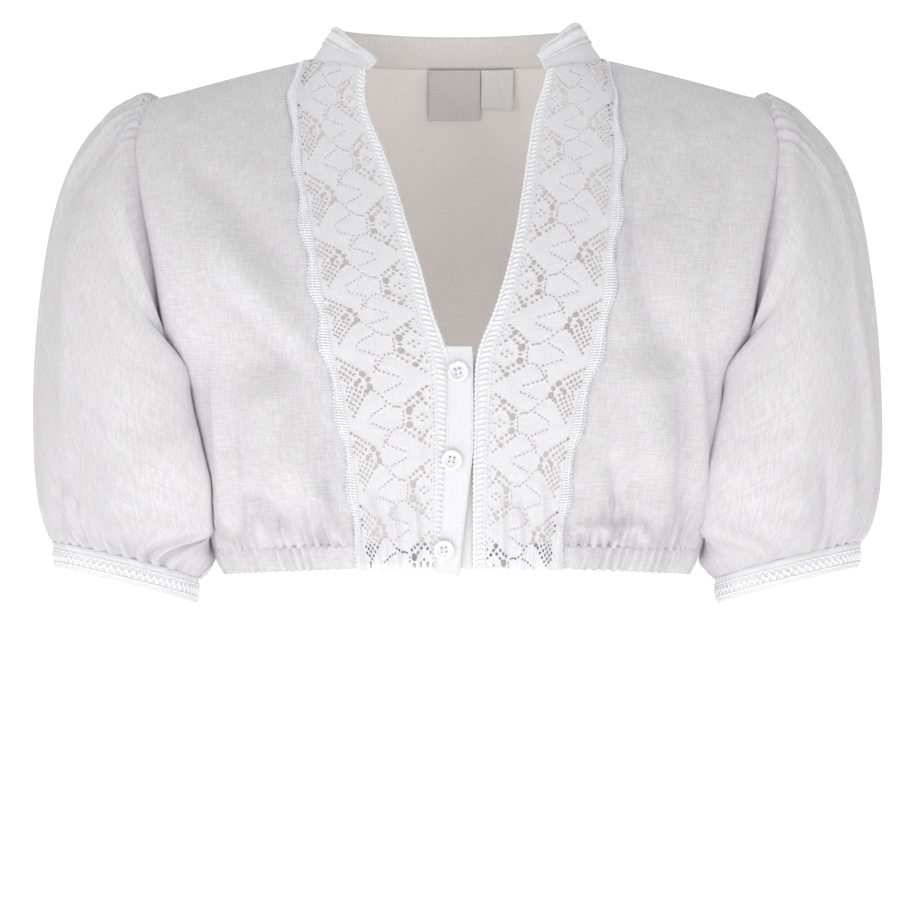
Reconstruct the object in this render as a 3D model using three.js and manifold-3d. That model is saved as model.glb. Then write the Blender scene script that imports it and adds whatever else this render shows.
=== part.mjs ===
// Cropped puff-sleeve blouse of white linen with two lace bands, in its worn form with no wearer.
// Millimetres. X to the viewer's right, Y to the back, Z up. The origin is the middle of the neck base.

import * as THREE from 'three';
import Module from 'manifold-3d';
import { mergeVertices } from 'three/addons/utils/BufferGeometryUtils.js';

const wasm = await Module();
wasm.setup();

// Walls and seams
const linen = 1.4;
const laceWall = 1.2;
const braidWall = 1.4;
const labelWall = 1.0;
const seam = 0.3;

// Neck and shoulders
const neckHalfWidth = 89;
const neckMiddle = 8;
const neckFrontDepth = 62;
const neckBackDepth = 55;
const neckFrontDrop = 17;
const shoulderReach = 185.5;
const shoulderDrop = 26;

// Armholes
const armpitHeight = -205;
const armholeHalfDepth = 57;

// Torso
const rounding = 2.7;
const casingLevel = 0.043;

// Lace
const laceOverlap = 7;

// Collar
const collarEndTurn = 37;

// Cuffs
const cuffHeight = 15;
const cuffTrimHeight = 7;

// Gathers
const hemGatherDepth = 0.85;
const cuffGathers = 26;
const headGathers = 9;

// Buttons
const buttonRadius = 6.2;
const buttonThickness = 2.6;

const degrees = Math.PI / 180;
const lerp = THREE.MathUtils.lerp;
const clamp = THREE.MathUtils.clamp;

const cloth = (colour, roughness) =>
  new THREE.MeshStandardMaterial({ color: colour, roughness, metalness: 0, side: THREE.DoubleSide });
const linenMaterial = cloth(0xf1f0f3, 0.85);
const laceMaterial = cloth(0xf5f5f7, 0.9);
const braidMaterial = cloth(0xf6f6f8, 0.88);
const labelMaterial = cloth(0xc0bec0, 0.7);
const careMaterial = cloth(0xf2f1ef, 0.75);
const buttonMaterial = cloth(0xe9e8ec, 0.2);

const group = new THREE.Group();

function add(name, geometry, material) {
  const mesh = new THREE.Mesh(geometry, material.clone());
  mesh.name = name;
  group.add(mesh);
  return mesh;
}

// Smooth reading of a table whose rows have named columns
function read(rows, by, at, column) {
  const last = rows.length - 1;
  if (at <= rows[0][by]) return rows[0][column];
  if (at >= rows[last][by]) return rows[last][column];
  let i = 0;
  while (rows[i + 1][by] < at) i += 1;
  const span = rows[i + 1][by] - rows[i][by];
  const slope = (a, b) => (rows[b][column] - rows[a][column]) / (rows[b][by] - rows[a][by]);
  const straight = slope(i, i + 1);
  const before = i > 0 ? slope(i - 1, i + 1) : straight;
  const after = i + 2 <= last ? slope(i, i + 2) : straight;
  const s = (at - rows[i][by]) / span;
  const h00 = (1 + 2 * s) * (1 - s) * (1 - s);
  const h10 = s * (1 - s) * (1 - s);
  const h01 = s * s * (3 - 2 * s);
  const h11 = s * s * (s - 1);
  return h00 * rows[i][column] + h10 * span * before + h01 * rows[i + 1][column] + h11 * span * after;
}

// Armhole seam: turn 0 at the shoulder tip, 180 at the armpit
const armholeRows = [
  { turn: 0, reach: 185.5 },
  { turn: 28, reach: 192 },
  { turn: 48, reach: 195 },
  { turn: 62, reach: 193.5 },
  { turn: 76, reach: 190 },
  { turn: 90, reach: 185.5 },
  { turn: 108, reach: 181.5 },
  { turn: 126, reach: 179 },
  { turn: 180, reach: 175 },
];

function armhole(turn, side) {
  const middle = (armpitHeight - shoulderDrop) / 2;
  const half = (-shoulderDrop - armpitHeight) / 2;
  return new THREE.Vector3(
    read(armholeRows, 'turn', turn, 'reach'),
    side * armholeHalfDepth * Math.sin(turn * degrees),
    middle + half * Math.cos(turn * degrees),
  );
}

// Neck seam: turn 0 at the front centre, 90 at the side, 180 at the back centre
function neckSeam(turn) {
  const c = Math.cos(turn * degrees);
  const depth = c > 0 ? neckFrontDepth : neckBackDepth;
  const drop = c > 0 ? neckFrontDrop * c * (0.35 + 0.65 * c) : 0;
  return new THREE.Vector3(
    neckHalfWidth * Math.sin(turn * degrees),
    neckMiddle - depth * c,
    -drop,
  );
}

// Torso sections from the hem up: heights and depths on the centre line, in front and behind
const torsoRows = [
  { level: 0.0, front: -313, rear: -317, chest: 92, spine: 84 },
  { level: 0.043, front: -300, rear: -304, chest: 97, spine: 88 },
  { level: 0.103, front: -280, rear: -283, chest: 102, spine: 92 },
  { level: 0.19, front: -252, rear: -254, chest: 108, spine: 96 },
  { level: 0.283, front: -222, rear: -223, chest: 112, spine: 100 },
  { level: 0.383, front: -190, rear: -190, chest: 114.5, spine: 105 },
  { level: 0.458, front: -166, rear: -165, chest: 114, spine: 108 },
  { level: 0.539, front: -140, rear: -139, chest: 110, spine: 110 },
  { level: 0.626, front: -112, rear: -109, chest: 100.5, spine: 111 },
  { level: 0.7, front: -88, rear: -84, chest: 88, spine: 108 },
  { level: 0.769, front: -67, rear: -61, chest: 76, spine: 102 },
  { level: 0.826, front: -50, rear: -42, chest: 66, spine: 94 },
  { level: 0.87, front: -38, rear: -28, chest: 60, spine: 86 },
  { level: 0.92, front: -28, rear: -15, chest: 57, spine: 77 },
  { level: 1.0, front: -17, rear: 0, chest: 54, spine: 63 },
];
const torsoColumns = ['front', 'rear', 'chest', 'spine'];

// Side seam below the armpit
const armpitLevel = 0.336;
const sideRows = [
  { level: 0.0, height: -318.5, reach: 142 },
  { level: 0.043, height: -305, reach: 148 },
  { level: 0.103, height: -284, reach: 156.5 },
  { level: 0.19, height: -254, reach: 165 },
  { level: 0.283, height: -223, reach: 172 },
  { level: armpitLevel, height: armpitHeight, reach: 175 },
];

// Armhole turn of each section above the armpit, and the share of the neck and shoulder line in it
const yokeRows = [
  { level: armpitLevel, turn: 180, lift: 0 },
  { level: 0.352, turn: 162, lift: 0 },
  { level: 0.383, turn: 146, lift: 0 },
  { level: 0.458, turn: 125, lift: 0 },
  { level: 0.539, turn: 107, lift: 0 },
  { level: 0.626, turn: 90, lift: 0 },
  { level: 0.7, turn: 75, lift: 0.03 },
  { level: 0.769, turn: 60, lift: 0.1 },
  { level: 0.826, turn: 45, lift: 0.22 },
  { level: 0.87, turn: 31, lift: 0.42 },
  { level: 0.92, turn: 17, lift: 0.7 },
  { level: 1.0, turn: 0, lift: 1 },
];
const armpitHold = 2.5;
const armpitHoldFade = 0.05;

// Share of the reach at a place s along a section, which crowds the columns where the body turns away
const reachShare = (s) => Math.pow(Math.sin(s * 90 * degrees), 2 / rounding);
const arcFall = (s) => 1 - Math.pow(Math.max(Math.cos(s * 90 * degrees), 0), 2 / rounding);

function arcPoint(s, centreY, centreZ, edge, hold = 1) {
  const t = reachShare(s);
  const fall = arcFall(s);
  return new THREE.Vector3(
    edge.x * t,
    centreY * (1 - fall) + edge.y * Math.pow(fall, hold),
    lerp(centreZ, edge.z, t * t),
  );
}

// Neck seam and shoulder seam as one line, read by its reach
function topLine(s, side) {
  const x = shoulderReach * reachShare(s);
  if (x < neckHalfWidth) {
    const turn = Math.asin(x / neckHalfWidth) / degrees;
    return neckSeam(side < 0 ? turn : 180 - turn);
  }
  const along = (x - neckHalfWidth) / (shoulderReach - neckHalfWidth);
  const drop = shoulderDrop * (0.86 * along + 0.14 * along * along);
  return new THREE.Vector3(x, lerp(neckMiddle, 0, along), -drop);
}

// Middle surface of the body cloth: s from the centre (0) to a side edge (-1, 1), level from hem to neck
function torso(s, level, side) {
  const row = {};
  for (const column of torsoColumns) row[column] = read(torsoRows, 'level', level, column);
  const share = Math.min(Math.abs(s), 1);
  const centreY = side < 0 ? -row.chest : row.spine;
  const centreZ = side < 0 ? row.front : row.rear;
  let point;
  if (level < armpitLevel) {
    const reach = read(sideRows, 'level', level, 'reach');
    const height = read(sideRows, 'level', level, 'height');
    point = arcPoint(share, centreY, centreZ, new THREE.Vector3(reach, 0, height));
  } else {
    const edge = armhole(read(yokeRows, 'level', level, 'turn'), side);
    const hold = 1 + armpitHold * Math.exp(-(level - armpitLevel) / armpitHoldFade);
    const top = torsoRows[torsoRows.length - 1];
    const plain = side < 0
      ? arcPoint(share, -top.chest, top.front, armhole(0, side))
      : arcPoint(share, top.spine, top.rear, armhole(0, side));
    const lift = read(yokeRows, 'level', level, 'lift');
    point = arcPoint(share, centreY, centreZ, edge, hold);
    point.addScaledVector(topLine(share, side).sub(plain), lift);
  }
  if (s < 0) point.x = -point.x;
  return point;
}
const front = (s, level) => torso(s, level, -1);
const back = (s, level) => torso(s, level, 1);

function normalOf(surface, u, v) {
  const step = 0.004;
  const a = surface(Math.min(u + step, 1), v).sub(surface(Math.max(u - step, -1), v));
  const b = surface(u, Math.min(v + step, 1)).sub(surface(u, Math.max(v - step, 0)));
  return a.cross(b).normalize();
}

// The place along a section, at this level, that lies at a front-view distance given by height
function placeAt(level, reachAt) {
  const sign = reachAt(front(0.3, level).z) < 0 ? -1 : 1;
  let low = 0;
  let high = 1;
  for (let i = 0; i < 30; i += 1) {
    const middle = (low + high) / 2;
    const point = front(middle, level);
    if (point.x < Math.abs(reachAt(point.z))) low = middle;
    else high = middle;
  }
  return sign * low;
}

// A closed wall between rows of points. Rows may differ in count: faces zip by the place u of each point.
function wall(rows, thickness, closed = false) {
  const positions = [];
  const outer = [];
  const inner = [];
  for (const row of rows) {
    const outerRow = [];
    const innerRow = [];
    for (const p of row) {
      const grow = thickness / 2 + (p.raise || 0);
      outerRow.push(positions.length / 3);
      positions.push(...p.place.clone().addScaledVector(p.normal, grow).toArray());
      innerRow.push(positions.length / 3);
      positions.push(...p.place.clone().addScaledVector(p.normal, -thickness / 2).toArray());
    }
    outer.push(outerRow);
    inner.push(innerRow);
  }
  const faces = [];
  const loopAt = (row, i) => row[i % row.length];
  rows.forEach((row, j) => {
    const count = closed ? row.length : row.length - 1;
    if (j + 1 < rows.length) {
      const next = rows[j + 1];
      const nextCount = closed ? next.length : next.length - 1;
      const place = (r, i) => (i < r.length ? r[i].u : 1);
      let a = 0;
      let b = 0;
      while (a < count || b < nextCount) {
        const stepA = b >= nextCount || (a < count && place(row, a + 1) <= place(next, b + 1) + 1e-9);
        const points = stepA ? [[j, a], [j, a + 1], [j + 1, b]] : [[j, a], [j + 1, b + 1], [j + 1, b]];
        const o = points.map(([r, i]) => loopAt(outer[r], i));
        const n = points.map(([r, i]) => loopAt(inner[r], i));
        faces.push(o[0], o[1], o[2], n[0], n[2], n[1]);
        if (stepA) a += 1;
        else b += 1;
      }
    }
    if (j === 0 || j === rows.length - 1) {
      for (let i = 0; i < count; i += 1) {
        const quad = [outer[j][i], loopAt(outer[j], i + 1), loopAt(inner[j], i + 1), inner[j][i]];
        if (j === 0) quad.reverse();
        faces.push(quad[0], quad[1], quad[2], quad[0], quad[2], quad[3]);
      }
    }
    if (!closed && j + 1 < rows.length) {
      for (const start of [true, false]) {
        const i = start ? 0 : row.length - 1;
        const k = start ? 0 : rows[j + 1].length - 1;
        const quad = [outer[j][i], outer[j + 1][k], inner[j + 1][k], inner[j][i]];
        if (!start) quad.reverse();
        faces.push(quad[0], quad[1], quad[2], quad[0], quad[2], quad[3]);
      }
    }
  });
  return closedGeometry(positions, faces);
}

// Turns the faces outward when the signed volume says that they point in
function closedGeometry(positions, faces) {
  let volume = 0;
  const at = (i) => new THREE.Vector3(positions[3 * i], positions[3 * i + 1], positions[3 * i + 2]);
  for (let i = 0; i < faces.length; i += 3) {
    volume += at(faces[i]).dot(at(faces[i + 1]).cross(at(faces[i + 2])));
  }
  if (volume < 0) faces.reverse();
  const geometry = new THREE.BufferGeometry();
  geometry.setAttribute('position', new THREE.Float32BufferAttribute(positions, 3));
  geometry.setIndex(faces);
  geometry.computeVertexNormals();
  return geometry;
}

function toManifold(geometry) {
  const bare = geometry.clone();
  bare.deleteAttribute('normal');
  bare.deleteAttribute('uv');
  const merged = mergeVertices(bare, 1e-4);
  return new wasm.Manifold(new wasm.Mesh({
    numProp: 3,
    vertProperties: new Float32Array(merged.attributes.position.array),
    triVerts: new Uint32Array(merged.index.array),
  }));
}

function fromManifold(solid) {
  const mesh = solid.getMesh();
  const geometry = new THREE.BufferGeometry();
  geometry.setAttribute('position', new THREE.Float32BufferAttribute(mesh.vertProperties, 3));
  geometry.setIndex(Array.from(mesh.triVerts));
  geometry.computeVertexNormals();
  return geometry;
}

const spread = (count) => Array.from({ length: count + 1 }, (_, i) => i / count);

// Edges of the V and of the lace bands, as distances from the centre line by height
const laceRows = [
  { height: -318, leftIn: -7.5, rightIn: 9.5, leftOut: -59, rightOut: 62 },
  { height: -290, leftIn: -6, rightIn: 9.5, leftOut: -62.5, rightOut: 64.5 },
  { height: -255, leftIn: -4, rightIn: 9.5, leftOut: -66.5, rightOut: 69.5 },
  { height: -225, leftIn: -3, rightIn: 10, leftOut: -71.5, rightOut: 75 },
  { height: -195, leftIn: -3.5, rightIn: 10.5, leftOut: -78, rightOut: 83.5 },
  { height: -182, leftIn: -7, rightIn: 13, leftOut: -81, rightOut: 87 },
  { height: -162, leftIn: -14.4, rightIn: 21.3, leftOut: -84.5, rightOut: 92 },
  { height: -137, leftIn: -21.3, rightIn: 29.5, leftOut: -89.5, rightOut: 94.5 },
  { height: -114, leftIn: -28.5, rightIn: 35, leftOut: -93, rightOut: 97 },
  { height: -92, leftIn: -34.8, rightIn: 38.8, leftOut: -96.5, rightOut: 99.5 },
  { height: -64, leftIn: -44.6, rightIn: 43, leftOut: -99.5, rightOut: 101 },
  { height: -40, leftIn: -54, rightIn: 47, leftOut: -102.5, rightOut: 99.5 },
  { height: -24, leftIn: -56, rightIn: 52, leftOut: -102.5, rightOut: 96.5 },
  { height: -5, leftIn: -54, rightIn: 56.5, leftOut: -98, rightOut: 94 },
];
// Heights of the ring flowers, one to each repeat of the lace, from the hem up
const flowerRows = [
  { repeat: 7, left: -309.5, right: -313 },
  { repeat: 6, left: -266.5, right: -270.3 },
  { repeat: 5, left: -223.4, right: -226.9 },
  { repeat: 4, left: -180.1, right: -186 },
  { repeat: 3, left: -146.2, right: -145.6 },
  { repeat: 2, left: -109.9, right: -103.1 },
  { repeat: 1, left: -69.6, right: -62.7 },
  { repeat: 0, left: -28.7, right: -28.7 },
];
const laceScallop = 1.8;
const edgeAt = (column) => (height) => read(laceRows, 'height', height, column);
function scallopedAt(column, side, sign) {
  return (height) => {
    const wave = Math.cos(2 * Math.PI * read(flowerRows, side, height, 'repeat'));
    return edgeAt(column)(height) + sign * laceScallop * wave;
  };
}

// Depth of the hem gathers, which lie out and in by turns and fade above the casing
function gather(index, level) {
  const fade = clamp(1 - (level - casingLevel) / 0.05, 0, 1);
  return (index % 2 === 0 ? 1 : -1) * hemGatherDepth * fade;
}

// One row of a body panel, from one place of the section to another. Near the neck a column is
// set on the corner where the neck seam meets the shoulder seam.
const cornerPlace = Math.asin(Math.pow(neckHalfWidth / shoulderReach, rounding / 2)) / (90 * degrees);
const cornerLevel = 0.8;

function bodyPlaces(level, from, to, count, crowd) {
  const power = 1 + crowd * clamp((level - 0.6) / 0.25, 0, 1);
  const places = spread(count).map((u) => lerp(from, to, u ** power));
  if (level < cornerLevel) return places;
  for (const corner of [-cornerPlace, cornerPlace]) {
    const near = places.map((s) => Math.abs(s - corner));
    const index = near.indexOf(Math.min(...near));
    if (index > 0 && index < count) places[index] = corner;
  }
  return places;
}

function bodyRow({ surface, level, from, to, count, crowd = 0, offset = 0, waves = () => 0 }) {
  return bodyPlaces(level, from, to, count, crowd).map((s, i) => {
    const u = i / count;
    const place = surface(s, level);
    const normal = outwardNormal(surface, s, level);
    place.addScaledVector(normal, offset + waves(i, u));
    return { place, normal, u };
  });
}

function outwardNormal(surface, s, level) {
  const normal = normalOf(surface, s, level);
  const middle = surface(s, level);
  return normal.dot(new THREE.Vector3(middle.x * 0.6, middle.y, 0)) < 0 ? normal.negate() : normal;
}

// Places just inside the seams
const casingTop = casingLevel - 0.0006;
const panelBottom = casingLevel + 0.0006;
const sideEnd = 1 - 0.0003;
const shoulderEnd = 1 - 0.002;

// Body levels with the columns of a front and of the back
const panelRows = [
  { level: panelBottom, front: 36, back: 84 },
  { level: 0.07, front: 18, back: 42 },
  { level: 0.12, front: 9, back: 22 },
  { level: 0.22, front: 8, back: 22 },
  { level: 0.336, front: 8, back: 22 },
  { level: 0.352, front: 8, back: 22 },
  { level: 0.383, front: 8, back: 22 },
  { level: 0.458, front: 8, back: 22 },
  { level: 0.539, front: 8, back: 22 },
  { level: 0.626, front: 8, back: 22 },
  { level: 0.7, front: 8, back: 22 },
  { level: 0.769, front: 8, back: 22 },
  { level: 0.826, front: 8, back: 22 },
  { level: 0.87, front: 8, back: 22 },
  { level: 0.895, front: 8, back: 22 },
  { level: 0.92, front: 8, back: 22 },
  { level: 0.95, front: 8, back: 22 },
  { level: 0.975, front: 8, back: 22 },
  { level: shoulderEnd, front: 8, back: 22 },
];

// Linen fronts, whose inner edges lie under the lace
const frontGathersFrom = 0.12;
const linenNeckEdge = 91;
const linenNeckHeight = -30;
const neckLimit = (height) => (height > linenNeckHeight ? linenNeckEdge : 0);
function frontPanel(sign, column) {
  const inner = (height) => sign * Math.max(Math.abs(edgeAt(column)(height)) - laceOverlap, neckLimit(height));
  return wall(panelRows.map((row, j) => bodyRow({
    surface: front,
    level: row.level,
    count: row.front,
    from: placeAt(row.level, inner),
    to: sign * sideEnd,
    crowd: 0.7,
    waves: (i, u) => (j === 0 && u > frontGathersFrom && u < 1 ? gather(i, row.level) : 0),
  })), linen);
}

function backPanel() {
  return wall(panelRows.map((row, j) => bodyRow({
    surface: back,
    level: row.level,
    count: row.back,
    from: -sideEnd,
    to: sideEnd,
    waves: (i, u) => (j === 0 && u > 0 && u < 1 ? gather(i, row.level) : 0),
  })), linen);
}

add('back', backPanel(), linenMaterial);
add('front_left', frontPanel(-1, 'leftOut'), linenMaterial);
add('front_right', frontPanel(1, 'rightOut'), linenMaterial);

// Elastic casing at the hem, plain where it runs behind the lace
const casingEnd = 14;
const casingColumns = { front: 50, back: 84 };
function frontCasing(sign, column) {
  const plainTo = Math.abs(edgeAt(column)(-310)) + laceOverlap;
  return wall([0, casingTop].map((level) => {
    const from = placeAt(level, () => sign * casingEnd);
    const to = sign * sideEnd;
    const isPlain = (u) => u === 1 || Math.abs(front(lerp(from, to, u), level).x) < plainTo;
    const waves = (i, u) => (isPlain(u) ? 0 : gather(i, level));
    return bodyRow({ surface: front, level, count: casingColumns.front, from, to, waves });
  }), linen);
}
add('hem_back', wall([0, casingTop].map((level) => bodyRow({
  surface: back,
  level,
  count: casingColumns.back,
  from: -sideEnd,
  to: sideEnd,
  waves: (i, u) => (u > 0 && u < 1 ? gather(i, level) : 0),
})), linen), linenMaterial);
add('hem_front_left', frontCasing(-1, 'leftOut'), linenMaterial);
add('hem_front_right', frontCasing(1, 'rightOut'), linenMaterial);

// Lace bands over the linen, with their larger gaps cut through
const laceClearance = 0.8;
const laceOffset = linen / 2 + laceClearance + laceWall / 2;
const laceLevels = spread(31).map((u) => lerp(0, shoulderEnd, Math.pow(u, 0.97)));
const laceColumns = 5;
const fineLaceColumns = 8;
const neckLaceLevel = 0.86;
const hemLaceLevel = 0.08;
const laceFoldHeight = 1.5;
const neckLaceLift = 2.2;

function laceRow(level, inner, outer, count) {
  return bodyRow({
    surface: front,
    level,
    count,
    from: placeAt(level, inner),
    to: placeAt(level, outer),
    offset: laceOffset,
    waves: (i, u) => {
      const lift = neckLaceLift * u * clamp((level - 0.8) / 0.07, 0, 1);
      const fold = level < hemLaceLevel && i % 2 === 1 && i > 1 ? laceFoldHeight : 0;
      return lift + fold * clamp(1 - level / hemLaceLevel, 0, 1);
    },
  });
}

// Gaps of one repeat: along from the ring flower, across from the inner edge, half sizes.
// Those beside the flower are round, those of the net are square on their corners.
const laceGaps = [
  { along: 3.3, across: 21.5, long: 2.3, wide: 2.5, sides: 6 },
  { along: -5.5, across: 20, long: 2.2, wide: 2.6, sides: 6 },
  { along: -19, across: 43, long: 2.9, wide: 2.9, sides: 4 },
  { along: -25.5, across: 44.5, long: 2.9, wide: 2.9, sides: 4 },
];

// A frame on the lace at a height and a distance from the inner edge
function laceSpot(height, across, sign, inner, outer) {
  const width = Math.abs(outer(height) - inner(height));
  const x = Math.abs(inner(height) + sign * across * Math.min(1, width / 64));
  let level = 0.5;
  let s = 0.3;
  for (let i = 0; i < 12; i += 1) {
    s = Math.abs(placeAt(level, () => x));
    level = clamp(level + (height - front(s, level).z) / 330, 0, 0.995);
  }
  const place = front(sign * s, level);
  const normal = outwardNormal(front, sign * s, level);
  return { place: place.addScaledVector(normal, laceOffset), normal };
}

function prism(spot, { long, wide, sides }) {
  const reach = 4;
  const up = new THREE.Vector3(0, 0, 1).addScaledVector(spot.normal, -spot.normal.z).normalize();
  const across = new THREE.Vector3().crossVectors(up, spot.normal).normalize();
  const positions = [];
  for (const end of [-reach, reach]) {
    for (let i = 0; i < sides; i += 1) {
      const a = (i / sides) * 2 * Math.PI;
      const point = spot.place.clone()
        .addScaledVector(spot.normal, end)
        .addScaledVector(up, long * Math.cos(a))
        .addScaledVector(across, wide * Math.sin(a));
      positions.push(...point.toArray());
    }
  }
  const faces = [];
  for (let i = 0; i < sides; i += 1) {
    const k = (i + 1) % sides;
    faces.push(i, k, sides + k, i, sides + k, sides + i);
    if (i > 0 && k > 0) faces.push(0, k, i, sides, sides + i, sides + k);
  }
  return closedGeometry(positions, faces);
}

const lowestGap = -294;
const highestGap = -14;
function lace(side, sign) {
  const inner = edgeAt(`${side}In`);
  const plainOuter = edgeAt(`${side}Out`);
  const outer = scallopedAt(`${side}Out`, side, sign);
  const rows = laceLevels.map((level) =>
    laceRow(level, inner, outer, level < hemLaceLevel || level > neckLaceLevel ? fineLaceColumns : laceColumns));
  let solid = toManifold(wall(rows, laceWall));
  for (const flower of flowerRows) {
    for (const gap of laceGaps) {
      const height = flower[side] + gap.along;
      if (height > lowestGap && height < highestGap) {
        const spot = laceSpot(height, gap.across, sign, inner, plainOuter);
        solid = solid.subtract(toManifold(prism(spot, gap)));
      }
    }
  }
  return fromManifold(solid);
}
add('lace_left', lace('left', -1), laceMaterial);
add('lace_right', lace('right', 1), laceMaterial);

// Button strip and the strip below it
const placketRows = [
  { height: -318, left: -14, right: 0.5, underLeft: -3, underRight: 13 },
  { height: -304, left: -12, right: 2.2, underLeft: -3, underRight: 12.8 },
  { height: -290, left: -10, right: 4, underLeft: -3, underRight: 12.8 },
  { height: -256, left: -8, right: 8, underLeft: -3, underRight: 13 },
  { height: -240, left: -7, right: 9.6, underLeft: -2, underRight: 13.4 },
  { height: -196, left: -5.8, right: 9.4, underLeft: -2, underRight: 13.6 },
  { height: -180, left: -7.6, right: 8.7, underLeft: -2, underRight: 14 },
];
const placketTop = -181.5;
const placketBottomDrop = 4;
const underTop = -184.5;
const stripAt = (column) => (height) => read(placketRows, 'height', height, column);

function levelAt(surface, s, height) {
  let low = 0;
  let high = 1;
  for (let i = 0; i < 30; i += 1) {
    const middle = (low + high) / 2;
    if (surface(s, middle).z < height) low = middle;
    else high = middle;
  }
  return low;
}

function strip(left, right, top, offset, bottomDrop) {
  const topLevel = levelAt(front, 0, top);
  return wall(spread(12).map((v) => {
    const level = v * topLevel;
    const height = front(0, level).z;
    const row = bodyRow({
      surface: front,
      level,
      count: 3,
      from: signedPlace(level, stripAt(left)(height)),
      to: signedPlace(level, stripAt(right)(height)),
      offset,
    });
    if (v === 0) row.forEach((point) => { point.place.z -= bottomDrop * (0.4 + 0.6 * point.u); });
    return row;
  }), linen);
}
const signedPlace = (level, x) => Math.sign(x) * Math.abs(placeAt(level, () => Math.abs(x)));
const placketOffset = laceOffset + laceWall / 2 + seam + linen / 2;
add('placket', strip('left', 'right', placketTop, placketOffset, placketBottomDrop), linenMaterial);
add('under_placket', strip('underLeft', 'underRight', underTop, 0, 1.5), linenMaterial);

// Four-hole buttons with a raised rim
const buttonSpots = [
  { name: 'button_1', x: 0.4, height: -196 },
  { name: 'button_2', x: -3.2, height: -247.7 },
  { name: 'button_3', x: -7.9, height: -300.5 },
];
const buttonSides = 20;
const buttonHoleRadius = 0.75;
const buttonHoleSpacing = 1.35;

function buttonSolid() {
  const half = buttonThickness / 2;
  const profile = [
    new THREE.Vector2(0, -half),
    new THREE.Vector2(buttonRadius * 0.8, -half),
    new THREE.Vector2(buttonRadius, 0),
    new THREE.Vector2(buttonRadius * 0.88, half),
    new THREE.Vector2(buttonRadius * 0.66, half * 0.35),
    new THREE.Vector2(0, half * 0.35),
  ];
  let solid = toManifold(new THREE.LatheGeometry(profile, buttonSides));
  for (const [x, z] of [[1, 1], [1, -1], [-1, -1], [-1, 1]]) {
    const hole = new THREE.CylinderGeometry(buttonHoleRadius, buttonHoleRadius, 4 * buttonThickness, 6);
    hole.translate(x * buttonHoleSpacing, 0, z * buttonHoleSpacing);
    solid = solid.subtract(toManifold(hole));
  }
  return fromManifold(solid);
}

for (const { name, x, height } of buttonSpots) {
  const level = levelAt(front, 0, height);
  const s = signedPlace(level, x);
  const normal = outwardNormal(front, s, level);
  const place = front(s, level).addScaledVector(normal, placketOffset + linen / 2 + seam + buttonThickness / 2);
  const mesh = add(name, buttonSolid(), buttonMaterial);
  mesh.position.copy(place);
  mesh.quaternion.setFromUnitVectors(new THREE.Vector3(0, 1, 0), normal);
}

// Stand collar: u from the left front end round the back to the right front end, v from the seam up
const collarTopRows = [
  { turn: 37, height: -1, half: 80 },
  { turn: 50, height: 7, half: 78 },
  { turn: 65, height: 15, half: 77 },
  { turn: 80, height: 18.8, half: 76 },
  { turn: 180, height: 18.5, half: 76 },
];
const collarLift = 0.6;
function collar(u, v) {
  const fromBack = lerp(-1, 1, u) * (180 - collarEndTurn);
  const turn = 180 - Math.abs(fromBack);
  const base = neckSeam(turn);
  const share = read(collarTopRows, 'turn', turn, 'half') / neckHalfWidth;
  const top = new THREE.Vector3(
    base.x * share,
    neckMiddle + (base.y - neckMiddle) * 0.9,
    read(collarTopRows, 'turn', turn, 'height'),
  );
  base.z += collarLift;
  const point = base.lerp(top, v);
  point.z = Math.max(point.z, base.z);
  if (fromBack < 0) point.x = -point.x;
  return point;
}

function ribbonRow(surface, count, v, offset) {
  return spread(count).map((u, i) => {
    const height = typeof v === 'function' ? v(i, u) : v;
    const place = surface(u, height);
    const normal = normalOf(surface, u, height);
    if (normal.dot(awayFrom(surface, u, height)) < 0) normal.negate();
    return { place: place.addScaledVector(normal, offset), normal, u };
  });
}
function awayFrom(surface, u, v) {
  return surface(u, v).sub(surface((u + 0.5) % 1, v));
}

const collarColumns = 32;
add('collar_stand', wall([0, 0.5, 1].map((v) => ribbonRow(collar, collarColumns, v, 0)), linen), linenMaterial);
const collarScallops = 32;
const trimOffset = linen / 2 + seam + braidWall / 2;
add('collar_trim', wall([
  ribbonRow(collar, 2 * collarScallops, 0.48, trimOffset),
  ribbonRow(collar, 2 * collarScallops, (i) => (i % 2 === 0 ? 0.94 : 1.04), trimOffset),
], braidWall), braidMaterial);

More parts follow.
